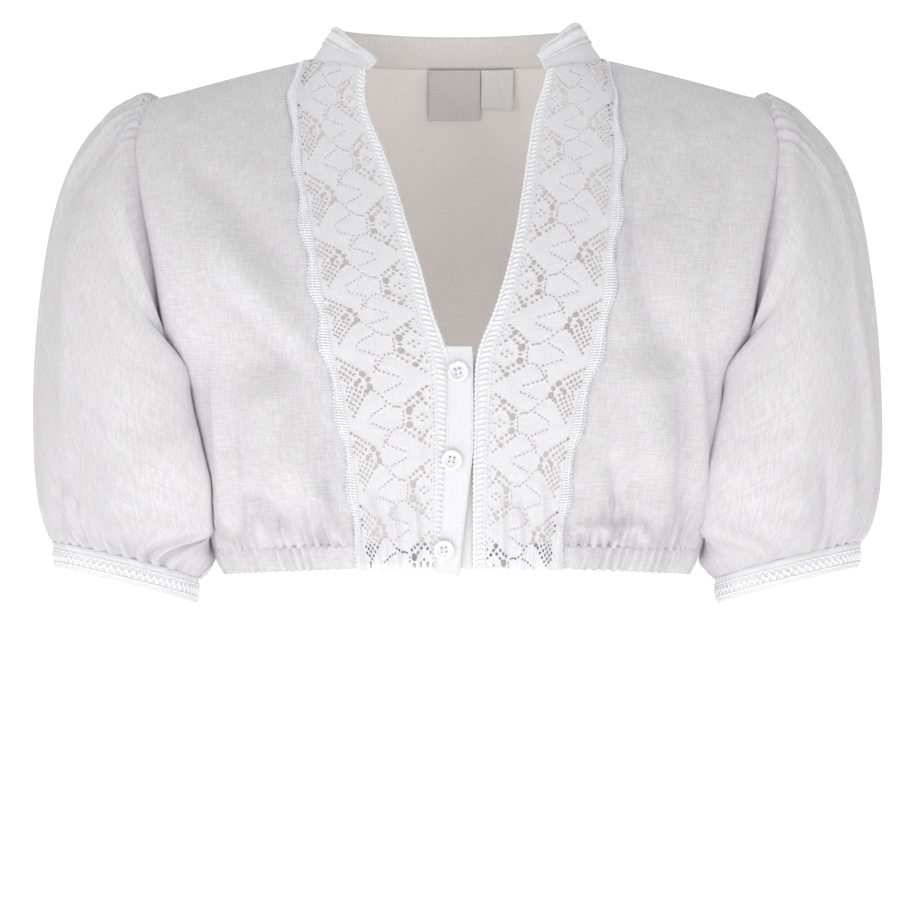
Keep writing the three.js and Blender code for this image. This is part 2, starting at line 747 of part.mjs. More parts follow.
// Puff sleeves, right side: outer, inner, front and back lines from the armhole to the cuff.
// The inner line lies against the body's side, and the sleeve swings a little to the back.
const sleeveRows = [
  {
    along: 0, outX: 185.5, outZ: -26, inX: 175, inZ: -205,
    midX: 185.5, front: 57, back: 57, midZ: -115.5, swing: 0,
  },
  {
    along: 0.03, outX: 190.5, outZ: -21.5, inX: 177.5, inZ: -206,
    midX: 188, front: 60, back: 59, midZ: -117, swing: 0,
  },
  {
    along: 0.08, outX: 202, outZ: -26.5, inX: 179.5, inZ: -209,
    midX: 192, front: 64, back: 62, midZ: -120, swing: 0,
  },
  {
    along: 0.15, outX: 218, outZ: -39.5, inX: 178.8, inZ: -214,
    midX: 197, front: 69, back: 66, midZ: -128, swing: 1,
  },
  {
    along: 0.23, outX: 232.5, outZ: -55, inX: 176.2, inZ: -220,
    midX: 202, front: 72.5, back: 69, midZ: -140, swing: 3,
  },
  {
    along: 0.32, outX: 244, outZ: -76, inX: 173.6, inZ: -228,
    midX: 207, front: 75.5, back: 72, midZ: -156, swing: 5,
  },
  {
    along: 0.42, outX: 252, outZ: -104, inX: 171.2, inZ: -238,
    midX: 211, front: 77.5, back: 74, midZ: -175, swing: 8,
  },
  {
    along: 0.52, outX: 257.5, outZ: -138, inX: 169, inZ: -248,
    midX: 214, front: 78, back: 75, midZ: -196, swing: 10,
  },
  {
    along: 0.62, outX: 261.5, outZ: -175, inX: 166.2, inZ: -259,
    midX: 216, front: 77, back: 75, midZ: -217, swing: 11,
  },
  {
    along: 0.72, outX: 263, outZ: -210, inX: 162.8, inZ: -271,
    midX: 216.5, front: 75, back: 73, midZ: -239, swing: 11,
  },
  {
    along: 0.81, outX: 262.5, outZ: -242, inX: 159.4, inZ: -284,
    midX: 215.5, front: 70, back: 68, midZ: -261, swing: 10,
  },
  {
    along: 0.89, outX: 260, outZ: -266, inX: 155.6, inZ: -297,
    midX: 212.5, front: 62.5, back: 61, midZ: -280, swing: 7,
  },
  {
    along: 0.95, outX: 255.5, outZ: -284, inX: 152.4, inZ: -309,
    midX: 209, front: 55, back: 54, midZ: -294, swing: 3,
  },
  {
    along: 1, outX: 249.7, outZ: -300, inX: 160.5, inZ: -322,
    midX: 205, front: 47.5, back: 47.5, midZ: -307.5, swing: 0,
  },
];
const sleeveColumnNames = ['outX', 'outZ', 'inX', 'inZ', 'midX', 'front', 'back', 'midZ', 'swing'];
const seamBlend = 0.3;

function sleeveRing(turn, along) {
  const row = {};
  for (const column of sleeveColumnNames) row[column] = read(sleeveRows, 'along', along, column);
  const c = Math.cos(turn * degrees);
  const f = Math.sin(turn * degrees);
  const centre = new THREE.Vector3((row.outX + row.inX) / 2, row.swing, (row.outZ + row.inZ) / 2);
  const half = new THREE.Vector3((row.outX - row.inX) / 2, 0, (row.outZ - row.inZ) / 2);
  const depth = f > 0 ? -row.front : row.back;
  const middle = new THREE.Vector3(row.midX, row.swing + depth, row.midZ).sub(centre);
  return centre.addScaledVector(half, c).addScaledVector(middle, Math.abs(f));
}

// Turn 0 at the shoulder tip, 90 in front, 180 at the armpit
function sleeve(turn, along) {
  const point = sleeveRing(turn, along);
  if (along < seamBlend) {
    const around = ((turn % 360) + 360) % 360;
    const seamPoint = around <= 180 ? armhole(around, -1) : armhole(360 - around, 1);
    const share = (1 - along / seamBlend) ** 2;
    point.addScaledVector(seamPoint.sub(sleeveRing(turn, 0)), share);
  }
  return point;
}

const sleeveGap = 1.7;
const sleeveGapFade = 0.15;
const sleeveLevels = [
  { along: 0, columns: 60, head: 0.4, cuff: 0 },
  { along: 0.05, columns: 60, head: 1, cuff: 0 },
  { along: 0.13, columns: 60, head: 0.5, cuff: 0 },
  { along: 0.25, columns: 30, head: 0, cuff: 0 },
  { along: 0.4, columns: 30, head: 0, cuff: 0 },
  { along: 0.55, columns: 30, head: 0, cuff: 0 },
  { along: 0.7, columns: 30, head: 0, cuff: 0 },
  { along: 0.8, columns: 39, head: 0, cuff: 0 },
  { along: 0.88, columns: 78, head: 0, cuff: 0.7 },
  { along: 0.95, columns: 78, head: 0, cuff: 1 },
  { along: 1, columns: 78, head: 0, cuff: 0.35 },
];
const headGatherDepth = 1.7;
const headGatherSpan = 76;
const cuffGatherDepth = 2.1;

function sleeveWave(turn, head, cuff) {
  const around = ((turn + 180) % 360 + 360) % 360 - 180;
  const inHead = Math.abs(around) < headGatherSpan;
  const headWave = inHead ? Math.cos((2 * Math.PI * headGathers * around) / (2 * headGatherSpan)) : 0;
  const number = Math.floor((around + 180) / (360 / cuffGathers));
  const uneven = 0.72 + 0.28 * Math.sin(number * 2.4 + 1);
  const cuffWave = Math.cos((2 * Math.PI * cuffGathers * around) / 360 + 0.5) * uneven;
  return head * headGatherDepth * headWave + cuff * cuffGatherDepth * cuffWave;
}

function ringRow(surface, count, along, offsetAt) {
  return spread(count).slice(0, -1).map((u) => {
    const turn = 360 * u;
    const step = 0.5;
    const early = Math.max(along - 0.01, 0);
    const late = Math.min(along + 0.01, 1);
    const around = surface(turn + step, along).sub(surface(turn - step, along));
    const down = surface(turn, late).sub(surface(turn, early));
    const normal = around.cross(down).normalize();
    const place = surface(turn, along);
    const centre = surface(turn + 180, along).add(place).multiplyScalar(0.5);
    if (normal.dot(place.clone().sub(centre)) < 0) normal.negate();
    return { place: place.addScaledVector(normal, offsetAt(turn)), normal, u };
  });
}

function mirrored(rows, sign) {
  if (sign > 0) return rows;
  return rows.map((row) => row.map((point) => ({
    ...point,
    place: new THREE.Vector3(-point.place.x, point.place.y, point.place.z),
    normal: new THREE.Vector3(-point.normal.x, point.normal.y, point.normal.z),
  })));
}

function sleeveWall(sign) {
  const rows = sleeveLevels.map(({ along, columns, head, cuff }) =>
    ringRow(sleeve, columns, along, (turn) => sleeveWave(turn, head, cuff)));
  rows.forEach((row, j) => {
    const shift = sleeveGap * Math.max(0, 1 - sleeveLevels[j].along / sleeveGapFade);
    for (const point of row) point.place.x += shift;
  });
  return wall(mirrored(rows, sign), linen, true);
}

// Cuffs hang straight down from the end of the sleeve, a little narrower at the bottom
const cuffInward = 1.2;
function cuff(turn, down) {
  const top = sleeveRing(turn, 1);
  const middleX = (sleeveRows[sleeveRows.length - 1].outX + sleeveRows[sleeveRows.length - 1].inX) / 2;
  const toMiddle = new THREE.Vector3(middleX - top.x, -top.y, 0).normalize();
  top.z -= linen / 2 + seam;
  return top.addScaledVector(toMiddle, cuffInward * down).add(new THREE.Vector3(0, 0, -cuffHeight * down));
}

const cuffColumns = 32;
const cuffLoops = 24;
function cuffWall(sign) {
  const rows = [0, 1].map((down) => ringRow(cuff, cuffColumns, down, () => 0));
  return wall(mirrored(rows, sign), linen, true);
}
function cuffTrim(sign) {
  const share = cuffTrimHeight / cuffHeight;
  const rows = [0.3, 0.3 + share].map((down, j) => {
    const row = ringRow(cuff, 2 * cuffLoops, down, () => trimOffset + 0.15);
    row.forEach((point, i) => { point.place.z += (i % 2 === j ? 0.5 : -0.5); });
    return row;
  });
  return wall(mirrored(rows, sign), braidWall, true);
}

for (const [side, sign] of [['left', -1], ['right', 1]]) {
  add(`sleeve_${side}`, sleeveWall(sign), linenMaterial);
  add(`cuff_${side}`, cuffWall(sign), linenMaterial);
  add(`cuff_trim_${side}`, cuffTrim(sign), braidMaterial);
}

// Bare woven label and small folded care label inside the back of the neck
const labels = [
  { name: 'label_main', from: -18.3, to: 15.2, top: -2.5, bottom: -32.5, curl: 0, material: labelMaterial },
  { name: 'label_care', from: 15.8, to: 36.4, top: -2.5, bottom: -25, curl: 4, material: careMaterial },
];
const labelClearance = 1.7;
function labelSolid({ from, to, top, bottom, curl }) {
  const inward = -(linen / 2 + labelClearance + labelWall / 2);
  return wall(spread(4).map((v) => {
    const level = levelAt(back, 0, lerp(bottom, top, v));
    return spread(4).map((u) => {
      const x = lerp(from, to, u);
      const s = Math.sign(x) * placeForReach(back, Math.abs(x), level);
      const normal = outwardNormal(back, s, level);
      const lift = curl * Math.max(0, u - v) ** 2;
      return { place: back(s, level).addScaledVector(normal, inward - lift), normal, u };
    });
  }), labelWall);
}
function placeForReach(surface, x, level) {
  let low = 0;
  let high = 1;
  for (let i = 0; i < 30; i += 1) {
    const middle = (low + high) / 2;
    if (surface(middle, level).x < x) low = middle;
    else high = middle;
  }
  return low;
}
for (const label of labels) add(label.name, labelSolid(label), label.material);

export default group;
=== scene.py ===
"""Cropped puff-sleeve blouse of white linen with two bobbin-lace bands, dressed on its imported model.

Sizes are in millimetres, as in the part's source, and turned into metres where a mesh is made.
X is to the viewer's right, Y to the back, Z up.
"""

import math

import bpy
import numpy as np
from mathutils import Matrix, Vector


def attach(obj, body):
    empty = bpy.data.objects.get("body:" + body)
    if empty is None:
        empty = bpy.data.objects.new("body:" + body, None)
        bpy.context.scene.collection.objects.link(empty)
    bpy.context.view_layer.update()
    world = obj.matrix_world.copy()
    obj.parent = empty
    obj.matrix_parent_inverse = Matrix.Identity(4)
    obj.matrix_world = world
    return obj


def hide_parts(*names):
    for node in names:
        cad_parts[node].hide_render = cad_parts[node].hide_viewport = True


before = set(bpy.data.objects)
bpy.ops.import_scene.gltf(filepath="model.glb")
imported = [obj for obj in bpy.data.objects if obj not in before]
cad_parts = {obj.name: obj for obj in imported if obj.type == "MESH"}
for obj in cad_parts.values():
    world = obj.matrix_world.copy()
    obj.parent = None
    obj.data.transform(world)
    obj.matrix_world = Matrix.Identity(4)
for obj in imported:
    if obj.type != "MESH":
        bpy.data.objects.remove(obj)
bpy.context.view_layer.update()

MM = 0.001
CARRIER = "root"
SIGN = {"left": -1, "right": 1}

# Camera, as the photograph was taken: level, straight from the front
camera_data = bpy.data.cameras.new("camera")
camera_data.sensor_width = 36
camera_data.lens = 167.7
camera_data.clip_start = 0.05
camera_data.clip_end = 50
camera = bpy.data.objects.new("camera", camera_data)
camera.location = (-0.0043, -2.6, -0.243)
camera.rotation_euler = (math.radians(90), 0, 0)
bpy.context.collection.objects.link(camera)
bpy.context.scene.camera = camera

# Walls and clearances
LINEN = 1.0
STRIP_WALL = 1.1
LACE_WALL = 0.7
LACE_OFFSET = 2.1
SEAM_LEVEL = 0.043
SIDE_END = 0.9997
SHOULDER_END = 0.998


def lerp(a, b, t):
    return a + (b - a) * t


def ramp(value, start, end):
    """0 at start, 1 at end, smooth between."""
    t = np.clip((value - start) / (end - start), 0, 1)
    return t * t * (3 - 2 * t)


def unit(vectors):
    return vectors / np.maximum(np.linalg.norm(vectors, axis=-1, keepdims=True), 1e-9)


def running_length(points, axis=0):
    """Distance from the first point along each line of points."""
    steps = np.linalg.norm(np.diff(points, axis=axis), axis=-1)
    return np.concatenate([np.zeros_like(steps.take([0], axis)), steps.cumsum(axis)], axis)


class Table:
    """Rows with named columns, read smoothly between the rows."""

    def __init__(self, names, rows):
        self.columns = dict(zip(names.split(), np.array(rows, float).T))

    def read(self, by, at, column):
        x, y = self.columns[by], self.columns[column]
        at = np.clip(np.asarray(at, float), x[0], x[-1])
        steps = np.diff(y) / np.diff(x)
        slopes = np.concatenate(([steps[0]], (y[2:] - y[:-2]) / (x[2:] - x[:-2]), [steps[-1]]))
        i = np.clip(np.searchsorted(x, at, side="left") - 1, 0, len(x) - 2)
        span = x[i + 1] - x[i]
        s = (at - x[i]) / span
        start = (1 + 2 * s) * (1 - s) ** 2 * y[i] + s * (1 - s) ** 2 * span * slopes[i]
        end = s * s * (3 - 2 * s) * y[i + 1] + s * s * (s - 1) * span * slopes[i + 1]
        return start + end


# Main form, the same tables as the solids
NECK_HALF_WIDTH = 89
NECK_MIDDLE = 8
NECK_FRONT_DEPTH = 62
NECK_BACK_DEPTH = 55
NECK_FRONT_DROP = 17
SHOULDER_REACH = 185.5
SHOULDER_DROP = 26
ARMPIT_HEIGHT = -205
ARMPIT_LEVEL = 0.336
ARMHOLE_HALF_DEPTH = 57
SEAM_FORWARD = 14
ROUNDING = 2.7

armhole_table = Table("turn reach", [
    (0, 185.5), (28, 192), (48, 195), (62, 193.5), (76, 190), (90, 185.5), (108, 181.5), (126, 179),
    (180, 175),
])
torso_table = Table("level front rear chest spine", [
    (0.0, -313, -317, 92, 84), (0.043, -300, -304, 97, 88), (0.103, -280, -283, 102, 92),
    (0.19, -252, -254, 108, 96), (0.283, -222, -223, 112, 100), (0.383, -190, -190, 114.5, 105),
    (0.458, -166, -165, 114, 108), (0.539, -140, -139, 110, 110), (0.626, -112, -109, 100.5, 111),
    (0.7, -88, -84, 88, 108), (0.769, -67, -61, 76, 102), (0.826, -50, -42, 66, 94),
    (0.87, -38, -28, 60, 86), (0.92, -28, -15, 57, 77), (1.0, -17, 0, 54, 63),
])
side_table = Table("level height reach", [
    (0.0, -318.5, 142), (0.043, -305, 148), (0.103, -284, 156.5), (0.19, -254, 165), (0.283, -223, 172),
    (ARMPIT_LEVEL, ARMPIT_HEIGHT, 175),
])
yoke_table = Table("level turn lift", [
    (ARMPIT_LEVEL, 180, 0), (0.352, 162, 0), (0.383, 146, 0), (0.458, 125, 0), (0.539, 107, 0),
    (0.626, 90, 0), (0.7, 75, 0.03), (0.769, 60, 0.1), (0.826, 45, 0.22), (0.87, 31, 0.42), (0.92, 17, 0.7),
    (1.0, 0, 1),
])


def stack(x, y, z):
    return np.stack(np.broadcast_arrays(x, y, z), axis=-1).astype(float)


def armhole(turn, side):
    a = np.radians(turn)
    middle = (ARMPIT_HEIGHT - SHOULDER_DROP) / 2
    half = (-SHOULDER_DROP - ARMPIT_HEIGHT) / 2
    reach = armhole_table.read("turn", turn, "reach")
    depth = ARMHOLE_HALF_DEPTH + (SEAM_FORWARD * np.sin(a) if side < 0 else 0)
    return stack(reach, side * depth * np.sin(a), middle + half * np.cos(a))


def neck_seam(turn):
    """Turn 0 at the front centre, 90 at the side, 180 at the back centre."""
    a = np.radians(turn)
    c = np.cos(a)
    depth = np.where(c > 0, NECK_FRONT_DEPTH, NECK_BACK_DEPTH)
    drop = np.where(c > 0, NECK_FRONT_DROP * c * (0.35 + 0.65 * c), 0)
    return stack(NECK_HALF_WIDTH * np.sin(a), NECK_MIDDLE - depth * c, -drop)


def reach_share(s):
    return np.sin(s * math.pi / 2) ** (2 / ROUNDING)


def arc_point(s, centre_y, centre_z, edge, hold):
    t = reach_share(s)
    fall = 1 - np.maximum(np.cos(s * math.pi / 2), 0) ** (2 / ROUNDING)
    y = centre_y * (1 - fall) + edge[..., 1] * fall**hold
    return stack(edge[..., 0] * t, y, lerp(centre_z, edge[..., 2], t * t))


def top_line(s, side):
    x = SHOULDER_REACH * reach_share(s)
    turn = np.degrees(np.arcsin(np.minimum(x / NECK_HALF_WIDTH, 1)))
    at_neck = neck_seam(turn if side < 0 else 180 - turn)
    along = (x - NECK_HALF_WIDTH) / (SHOULDER_REACH - NECK_HALF_WIDTH)
    drop = SHOULDER_DROP * (0.86 * along + 0.14 * along * along)
    at_shoulder = stack(x, NECK_MIDDLE * (1 - along), -drop)
    return np.where((x < NECK_HALF_WIDTH)[..., None], at_neck, at_shoulder)


def torso(s, level, side):
    """Middle surface of the body: s from the centre (0) to a side (-1, 1), level from hem to neck."""
    s, level = np.broadcast_arrays(np.asarray(s, float), np.asarray(level, float))
    share = np.minimum(np.abs(s), 1)
    centre_y = side * torso_table.read("level", level, "chest" if side < 0 else "spine")
    centre_z = torso_table.read("level", level, "front" if side < 0 else "rear")
    low_edge = stack(side_table.read("level", level, "reach"), 0, side_table.read("level", level, "height"))
    low = arc_point(share, centre_y, centre_z, low_edge, 1)
    edge = armhole(yoke_table.read("level", level, "turn"), side)
    hold = 1 + 2.5 * np.exp(-np.maximum(level - ARMPIT_LEVEL, 0) / 0.05)
    high = arc_point(share, centre_y, centre_z, edge, hold)
    top_y, top_z = (-54, -17) if side < 0 else (63, 0)
    plain = arc_point(share, top_y, top_z, armhole(np.zeros_like(level), side), 1)
    high = high + yoke_table.read("level", level, "lift")[..., None] * (top_line(share, side) - plain)
    point = np.where((level < ARMPIT_LEVEL)[..., None], low, high)
    point[..., 0] *= np.where(s < 0, -1, 1)
    return point


def front(s, level):
    return torso(s, level, -1)


def back(s, level):
    return torso(s, level, 1)


def place_at(level, reach):
    """Place along the front at each level where the distance from the centre line is reach(height)."""
    level = np.asarray(level, float)
    low, high = np.zeros_like(level), np.ones_like(level)
    for _ in range(26):
        middle = (low + high) / 2
        point = front(middle, level)
        inside = point[..., 0] < np.abs(reach(point[..., 2]))
        low, high = np.where(inside, middle, low), np.where(inside, high, middle)
    return np.sign(reach(front(low, level)[..., 2])) * low


def level_at(height, s=0.0):
    low, high = 0.0, 1.0
    for _ in range(26):
        middle = (low + high) / 2
        if front(s, middle)[2] < height:
            low = middle
        else:
            high = middle
    return low


# Lace bands: edges of the V and outer edges by height, and the heights of the ring flowers
lace_table = Table("height left_in right_in left_out right_out", [
    (-318, -7.5, 9.5, -59, 62), (-290, -6, 9.5, -62.5, 64.5), (-255, -4, 9.5, -66.5, 69.5),
    (-225, -3, 10, -71.5, 75), (-195, -3.5, 10.5, -78, 83.5), (-182, -7, 13, -81, 87),
    (-162, -14.4, 21.3, -84.5, 92), (-137, -21.3, 29.5, -89.5, 94.5), (-114, -28.5, 35, -93, 97),
    (-92, -34.8, 38.8, -96.5, 99.5), (-64, -44.6, 43, -99.5, 101), (-40, -54, 47, -102.5, 99.5),
    (-24, -56, 52, -102.5, 96.5), (-5, -54, 56.5, -98, 94),
])
flower_tables = {
    "left": Table("height repeat", [
        (-309.5, 7), (-266.5, 6), (-223.4, 5), (-180.1, 4), (-146.2, 3),
        (-109.9, 2), (-69.6, 1), (-28.7, 0), (12, -1),
    ]),
    "right": Table("height repeat", [
        (-313, 7), (-270.3, 6), (-226.9, 5), (-186, 4), (-145.6, 3),
        (-103.1, 2), (-62.7, 1), (-28.7, 0), (12, -1),
    ]),
}


def lace_edge(column):
    """Reach of one edge of the lace at a height."""
    return lambda height: lace_table.read("height", height, column)


# Meshes
def grid_normals(points, closed=False):
    """Unit normals of a grid of points, rows by columns. Closed joins the last column to the first."""
    down = np.gradient(points, axis=0)
    around = (np.roll(points, -1, axis=1) - np.roll(points, 1, axis=1)) / 2
    across = around if closed else np.gradient(points, axis=1)
    return unit(np.cross(across, down))


def outward(points):
    """Unit normals of a grid that point away from the body's upright middle line."""
    normal = grid_normals(points)
    sign = np.where((normal * (points * np.array([0.6, 1, 0]))).sum(-1).mean() < 0, -1, 1)
    return normal * sign


def build_mesh(name, points, faces, material, uv=None):
    """Object from points in millimetres. uv is a pair for each point."""
    mesh = bpy.data.meshes.new(name)
    mesh.from_pydata((np.asarray(points) * MM).tolist(), [], faces)
    mesh.validate(clean_customdata=False)
    if uv is not None:
        layer = mesh.uv_layers.new(name="cloth")
        corners = np.empty(len(mesh.loops), dtype=np.int32)
        mesh.loops.foreach_get("vertex_index", corners)
        layer.data.foreach_set("uv", np.asarray(uv, np.float32)[corners].ravel())
    mesh.materials.append(material)
    mesh.shade_smooth()
    piece = bpy.data.objects.new(name, mesh)
    bpy.context.collection.objects.link(piece)
    return piece


def wall_faces(rows, columns, closed):
    """Faces of a closed wall over a grid: outer points first, then the inner points."""
    count = rows * columns
    index = np.arange(count).reshape(rows, columns)
    right = np.roll(index, -1, axis=1)
    last = columns if closed else columns - 1
    quads = [index[:-1, :last], right[:-1, :last], right[1:, :last], index[1:, :last]]
    quads = np.stack(quads, -1).reshape(-1, 4)
    faces = quads.tolist() + (quads[:, ::-1] + count).tolist()
    edges = [(index[0, :last], right[0, :last], 1), (index[-1, :last], right[-1, :last], -1)]
    if not closed:
        edges += [(index[:-1, 0], index[1:, 0], -1), (index[:-1, -1], index[1:, -1], 1)]
    for start, end, turn in edges:
        faces += np.stack([start, start + count, end + count, end], -1)[:, ::turn].tolist()
    return faces


def cloth_uv(points):
    """Place of each point in its cloth, in millimetres across and along."""
    across = running_length(points, 1)
    across -= across[:, across.shape[1] // 2][:, None]
    along = np.linalg.norm(np.diff(points, axis=0), axis=-1).mean(axis=1)
    along = np.concatenate([[0], np.cumsum(along)])[:, None]
    return np.stack(np.broadcast_arrays(across, along), -1)


def both_sides(points, normal, thickness):
    half = normal * thickness / 2
    return np.concatenate([points + half, points - half])


def shell(name, points, material, thickness, normal=None, closed=False, uv=None):
    """Thin wall about a grid of points. Closed joins the last column to the first."""
    normal = outward(points) if normal is None else normal
    uv = cloth_uv(points) if uv is None else uv
    wall = both_sides(points, normal, thickness).reshape(-1, 3)
    faces = wall_faces(*points.shape[:2], closed)
    return face_out(build_mesh(name, wall, faces, material, np.tile(uv.reshape(-1, 2), (2, 1))))


def face_out(piece):
    """Turns all faces over where the closed mesh's volume is negative."""
    mesh = piece.data
    mesh.calc_loop_triangles()
    place = np.empty(len(mesh.vertices) * 3)
    mesh.vertices.foreach_get("co", place)
    place = place.reshape(-1, 3)
    corner = np.empty(len(mesh.loop_triangles) * 3, dtype=np.int32)
    mesh.loop_triangles.foreach_get("vertices", corner)
    a, b, c = place[corner.reshape(-1, 3)].transpose(1, 0, 2)
    if (a * np.cross(b, c)).sum() < 0:
        mesh.flip_normals()
    return piece


# Materials
def new_material(name):
    material = bpy.data.materials.new(name)
    material.use_nodes = True
    tree = material.node_tree
    return material, tree.nodes, tree.links, tree.nodes["Principled BSDF"]


def set_inputs(node, values):
    for key, value in values.items():
        node.inputs[key].default_value = value


def add_noise(nodes, **inputs):
    node = nodes.new("ShaderNodeTexNoise")
    set_inputs(node, inputs)
    return node


# How much the thick and thin threads and the mottling move the tone between the two colours
SLUB_TONE = 2.6
MOTTLE_TONE = 0.5
TONE_START = -2.35
WEAVE_HEIGHT = 0.25
BUMP_DISTANCE = 0.0004
SHEEN_SHARE = 0.3
STREAK_LONG, STREAK_SHORT = 0.09, 1.1


def cloth_material(name, colour, warm, thread, bump, slub, roughness=0.85, sheen=0.18):
    """Woven cloth: threads both ways in the cloth's own millimetres, thick places, and soft mottling."""
    material, nodes, links, shader = new_material(name)
    place = nodes.new("ShaderNodeUVMap")
    place.uv_map = "cloth"
    split = nodes.new("ShaderNodeSeparateXYZ")
    links.new(place.outputs["UV"], split.inputs[0])

    def calculate(operation, *terms):
        node = nodes.new("ShaderNodeMath")
        node.operation = operation
        for socket, term in zip(node.inputs, terms):
            if isinstance(term, (int, float)):
                socket.default_value = term
            else:
                links.new(term, socket)
        return node.outputs[0]

    def threads(axis):
        return calculate("SINE", calculate("MULTIPLY", split.outputs[axis], 2 * math.pi / thread))

    def streaks(x_scale, y_scale):
        stretch = nodes.new("ShaderNodeVectorMath")
        stretch.operation = "MULTIPLY"
        stretch.inputs[1].default_value = (x_scale, y_scale, 1)
        links.new(place.outputs["UV"], stretch.inputs[0])
        noise = add_noise(nodes, Scale=1.0, Detail=2.0, Roughness=0.6)
        links.new(stretch.outputs[0], noise.inputs["Vector"])
        return noise.outputs["Fac"]

    weave = calculate("MULTIPLY", threads("X"), threads("Y"))
    slubs = calculate("ADD", streaks(STREAK_SHORT, STREAK_LONG), streaks(STREAK_LONG, STREAK_SHORT))
    height = calculate("ADD", calculate("MULTIPLY", weave, WEAVE_HEIGHT), calculate("MULTIPLY", slubs, slub))
    mottle = add_noise(nodes, Scale=0.035, Detail=3.0, Roughness=0.55)
    links.new(place.outputs["UV"], mottle.inputs["Vector"])
    tone = calculate("ADD", calculate("MULTIPLY_ADD", slubs, SLUB_TONE, TONE_START),
                     calculate("MULTIPLY", mottle.outputs["Fac"], MOTTLE_TONE))
    mix = nodes.new("ShaderNodeMix")
    mix.data_type = "RGBA"
    set_inputs(mix, {6: (*warm, 1), 7: (*colour, 1)})
    links.new(tone, mix.inputs[0])
    links.new(mix.outputs[2], shader.inputs["Base Color"])
    rise = nodes.new("ShaderNodeBump")
    set_inputs(rise, {"Strength": bump, "Distance": BUMP_DISTANCE})
    links.new(height, rise.inputs["Height"])
    links.new(rise.outputs[0], shader.inputs["Normal"])
    set_inputs(shader, {"Roughness": roughness, "Sheen Weight": SHEEN_SHARE * sheen,
                        "Sheen Roughness": 0.6, "Specular IOR Level": 0.25})
    return material


# Two colours, thread width in millimetres, bump and thick threads of each cloth
linen_look = cloth_material("linen", (0.745, 0.737, 0.75), (0.64, 0.625, 0.635), 0.9, 0.6, 1.5)
# Inside faces of the linen: the same cloth given a lighter, warmer colour, painted light where the inside
# gets little and a warm tint of painted shade.
inside_painted_light_look = cloth_material("linen_inside_painted_light", (0.98, 0.935, 0.91), (0.94, 0.895, 0.87), 0.9, 0.3, 0.9)
# Inside faces of the collar band: darker than the collar's outside, painted shade that holds down the light
# its inside catches.
collar_inside_painted_shade_look = cloth_material(
    "linen_collar_inside_painted_shade", (0.83, 0.795, 0.775), (0.77, 0.74, 0.72), 0.9, 0.3, 0.9)
strip_look = cloth_material("linen_strip", (0.80, 0.80, 0.815), (0.75, 0.75, 0.76), 0.9, 0.25, 0.8)
lace_look = cloth_material("lace_thread", (0.80, 0.795, 0.815), (0.74, 0.735, 0.755), 0.62, 0.5, 0.7)
braid_look = cloth_material("braid", (0.94, 0.94, 0.955), (0.88, 0.88, 0.895), 0.7, 0.3, 0.4)
label_look = cloth_material(
    "label_satin", (0.74, 0.71, 0.72), (0.69, 0.66, 0.67), 0.45, 0.25, 0.4, roughness=0.55, sheen=0.35)
care_look = cloth_material(
    "care_tape", (0.88, 0.87, 0.86), (0.80, 0.79, 0.78), 0.4, 0.2, 0.4, roughness=0.6, sheen=0.2)


def pearl_material():
    """Shell button: cool milky white with faint drifting layers and a clear gloss."""
    material, nodes, links, shader = new_material("pearl")
    coordinates = nodes.new("ShaderNodeTexCoord")
    noise = add_noise(nodes, Scale=220.0, Detail=3.0, Roughness=0.5, Distortion=1.5)
    links.new(coordinates.outputs["Object"], noise.inputs["Vector"])
    colours = nodes.new("ShaderNodeValToRGB")
    tones = (0.35, (0.74, 0.74, 0.78, 1)), (0.65, (0.88, 0.87, 0.89, 1))
    for element, (position, colour) in zip(colours.color_ramp.elements, tones):
        element.position, element.color = position, colour
    links.new(noise.outputs["Fac"], colours.inputs["Fac"])
    links.new(colours.outputs[0], shader.inputs["Base Color"])
    set_inputs(shader, {
        "Roughness": 0.16, "Coat Weight": 0.6, "Coat Roughness": 0.06, "Subsurface Weight": 0.15,
        "Subsurface Radius": (0.002, 0.002, 0.002), "Subsurface Scale": 1.0,
    })
    return material


pearl_look = pearl_material()


# Listed folds: soft troughs and ridges on a cloth's surface
class Fold:
    """A crease from one place to another, given in the front view (x, z), with its height and half width."""

    def __init__(self, start, end, height, width, bow=0.0):
        self.start, self.end = np.array(start, float), np.array(end, float)
        self.height, self.width, self.bow = height, width, bow

    def rise(self, x, z):
        line = self.end - self.start
        length = np.linalg.norm(line)
        way = line / length
        dx, dz = x - self.start[0], z - self.start[1]
        t = (dx * way[0] + dz * way[1]) / length
        off = dx * -way[1] + dz * way[0] - self.bow * 4 * t * (1 - t)
        ends = ramp(t, -0.08, 0.25) * (1 - ramp(t, 0.7, 1.08))
        return self.height * ends * np.exp(-((off / self.width) ** 2))


def placed(kind, rows):
    """Folds from rows of start, end, height, half width and, where it has one, bow."""
    return [kind(row[:2], row[2:4], *row[4:]) for row in rows]


def rise_of(folds, *place):
    total = np.zeros(np.broadcast_shapes(*(np.shape(part) for part in place)))
    for fold in folds:
        total += fold.rise(*place)
    return total


def value_noise(u, v, seed, size=64):
    """Smooth noise between -1 and 1 on a plane, the same each run."""
    table = np.random.default_rng(seed).uniform(-1, 1, (size, size))
    i, j = np.floor(u).astype(int), np.floor(v).astype(int)
    fu, fv = u - i, v - j
    fu, fv = fu * fu * (3 - 2 * fu), fv * fv * (3 - 2 * fv)
    a = table[i % size, j % size]
    b = table[(i + 1) % size, j % size]
    c = table[i % size, (j + 1) % size]
    d = table[(i + 1) % size, (j + 1) % size]
    return lerp(lerp(a, b, fu), lerp(c, d, fu), fv)


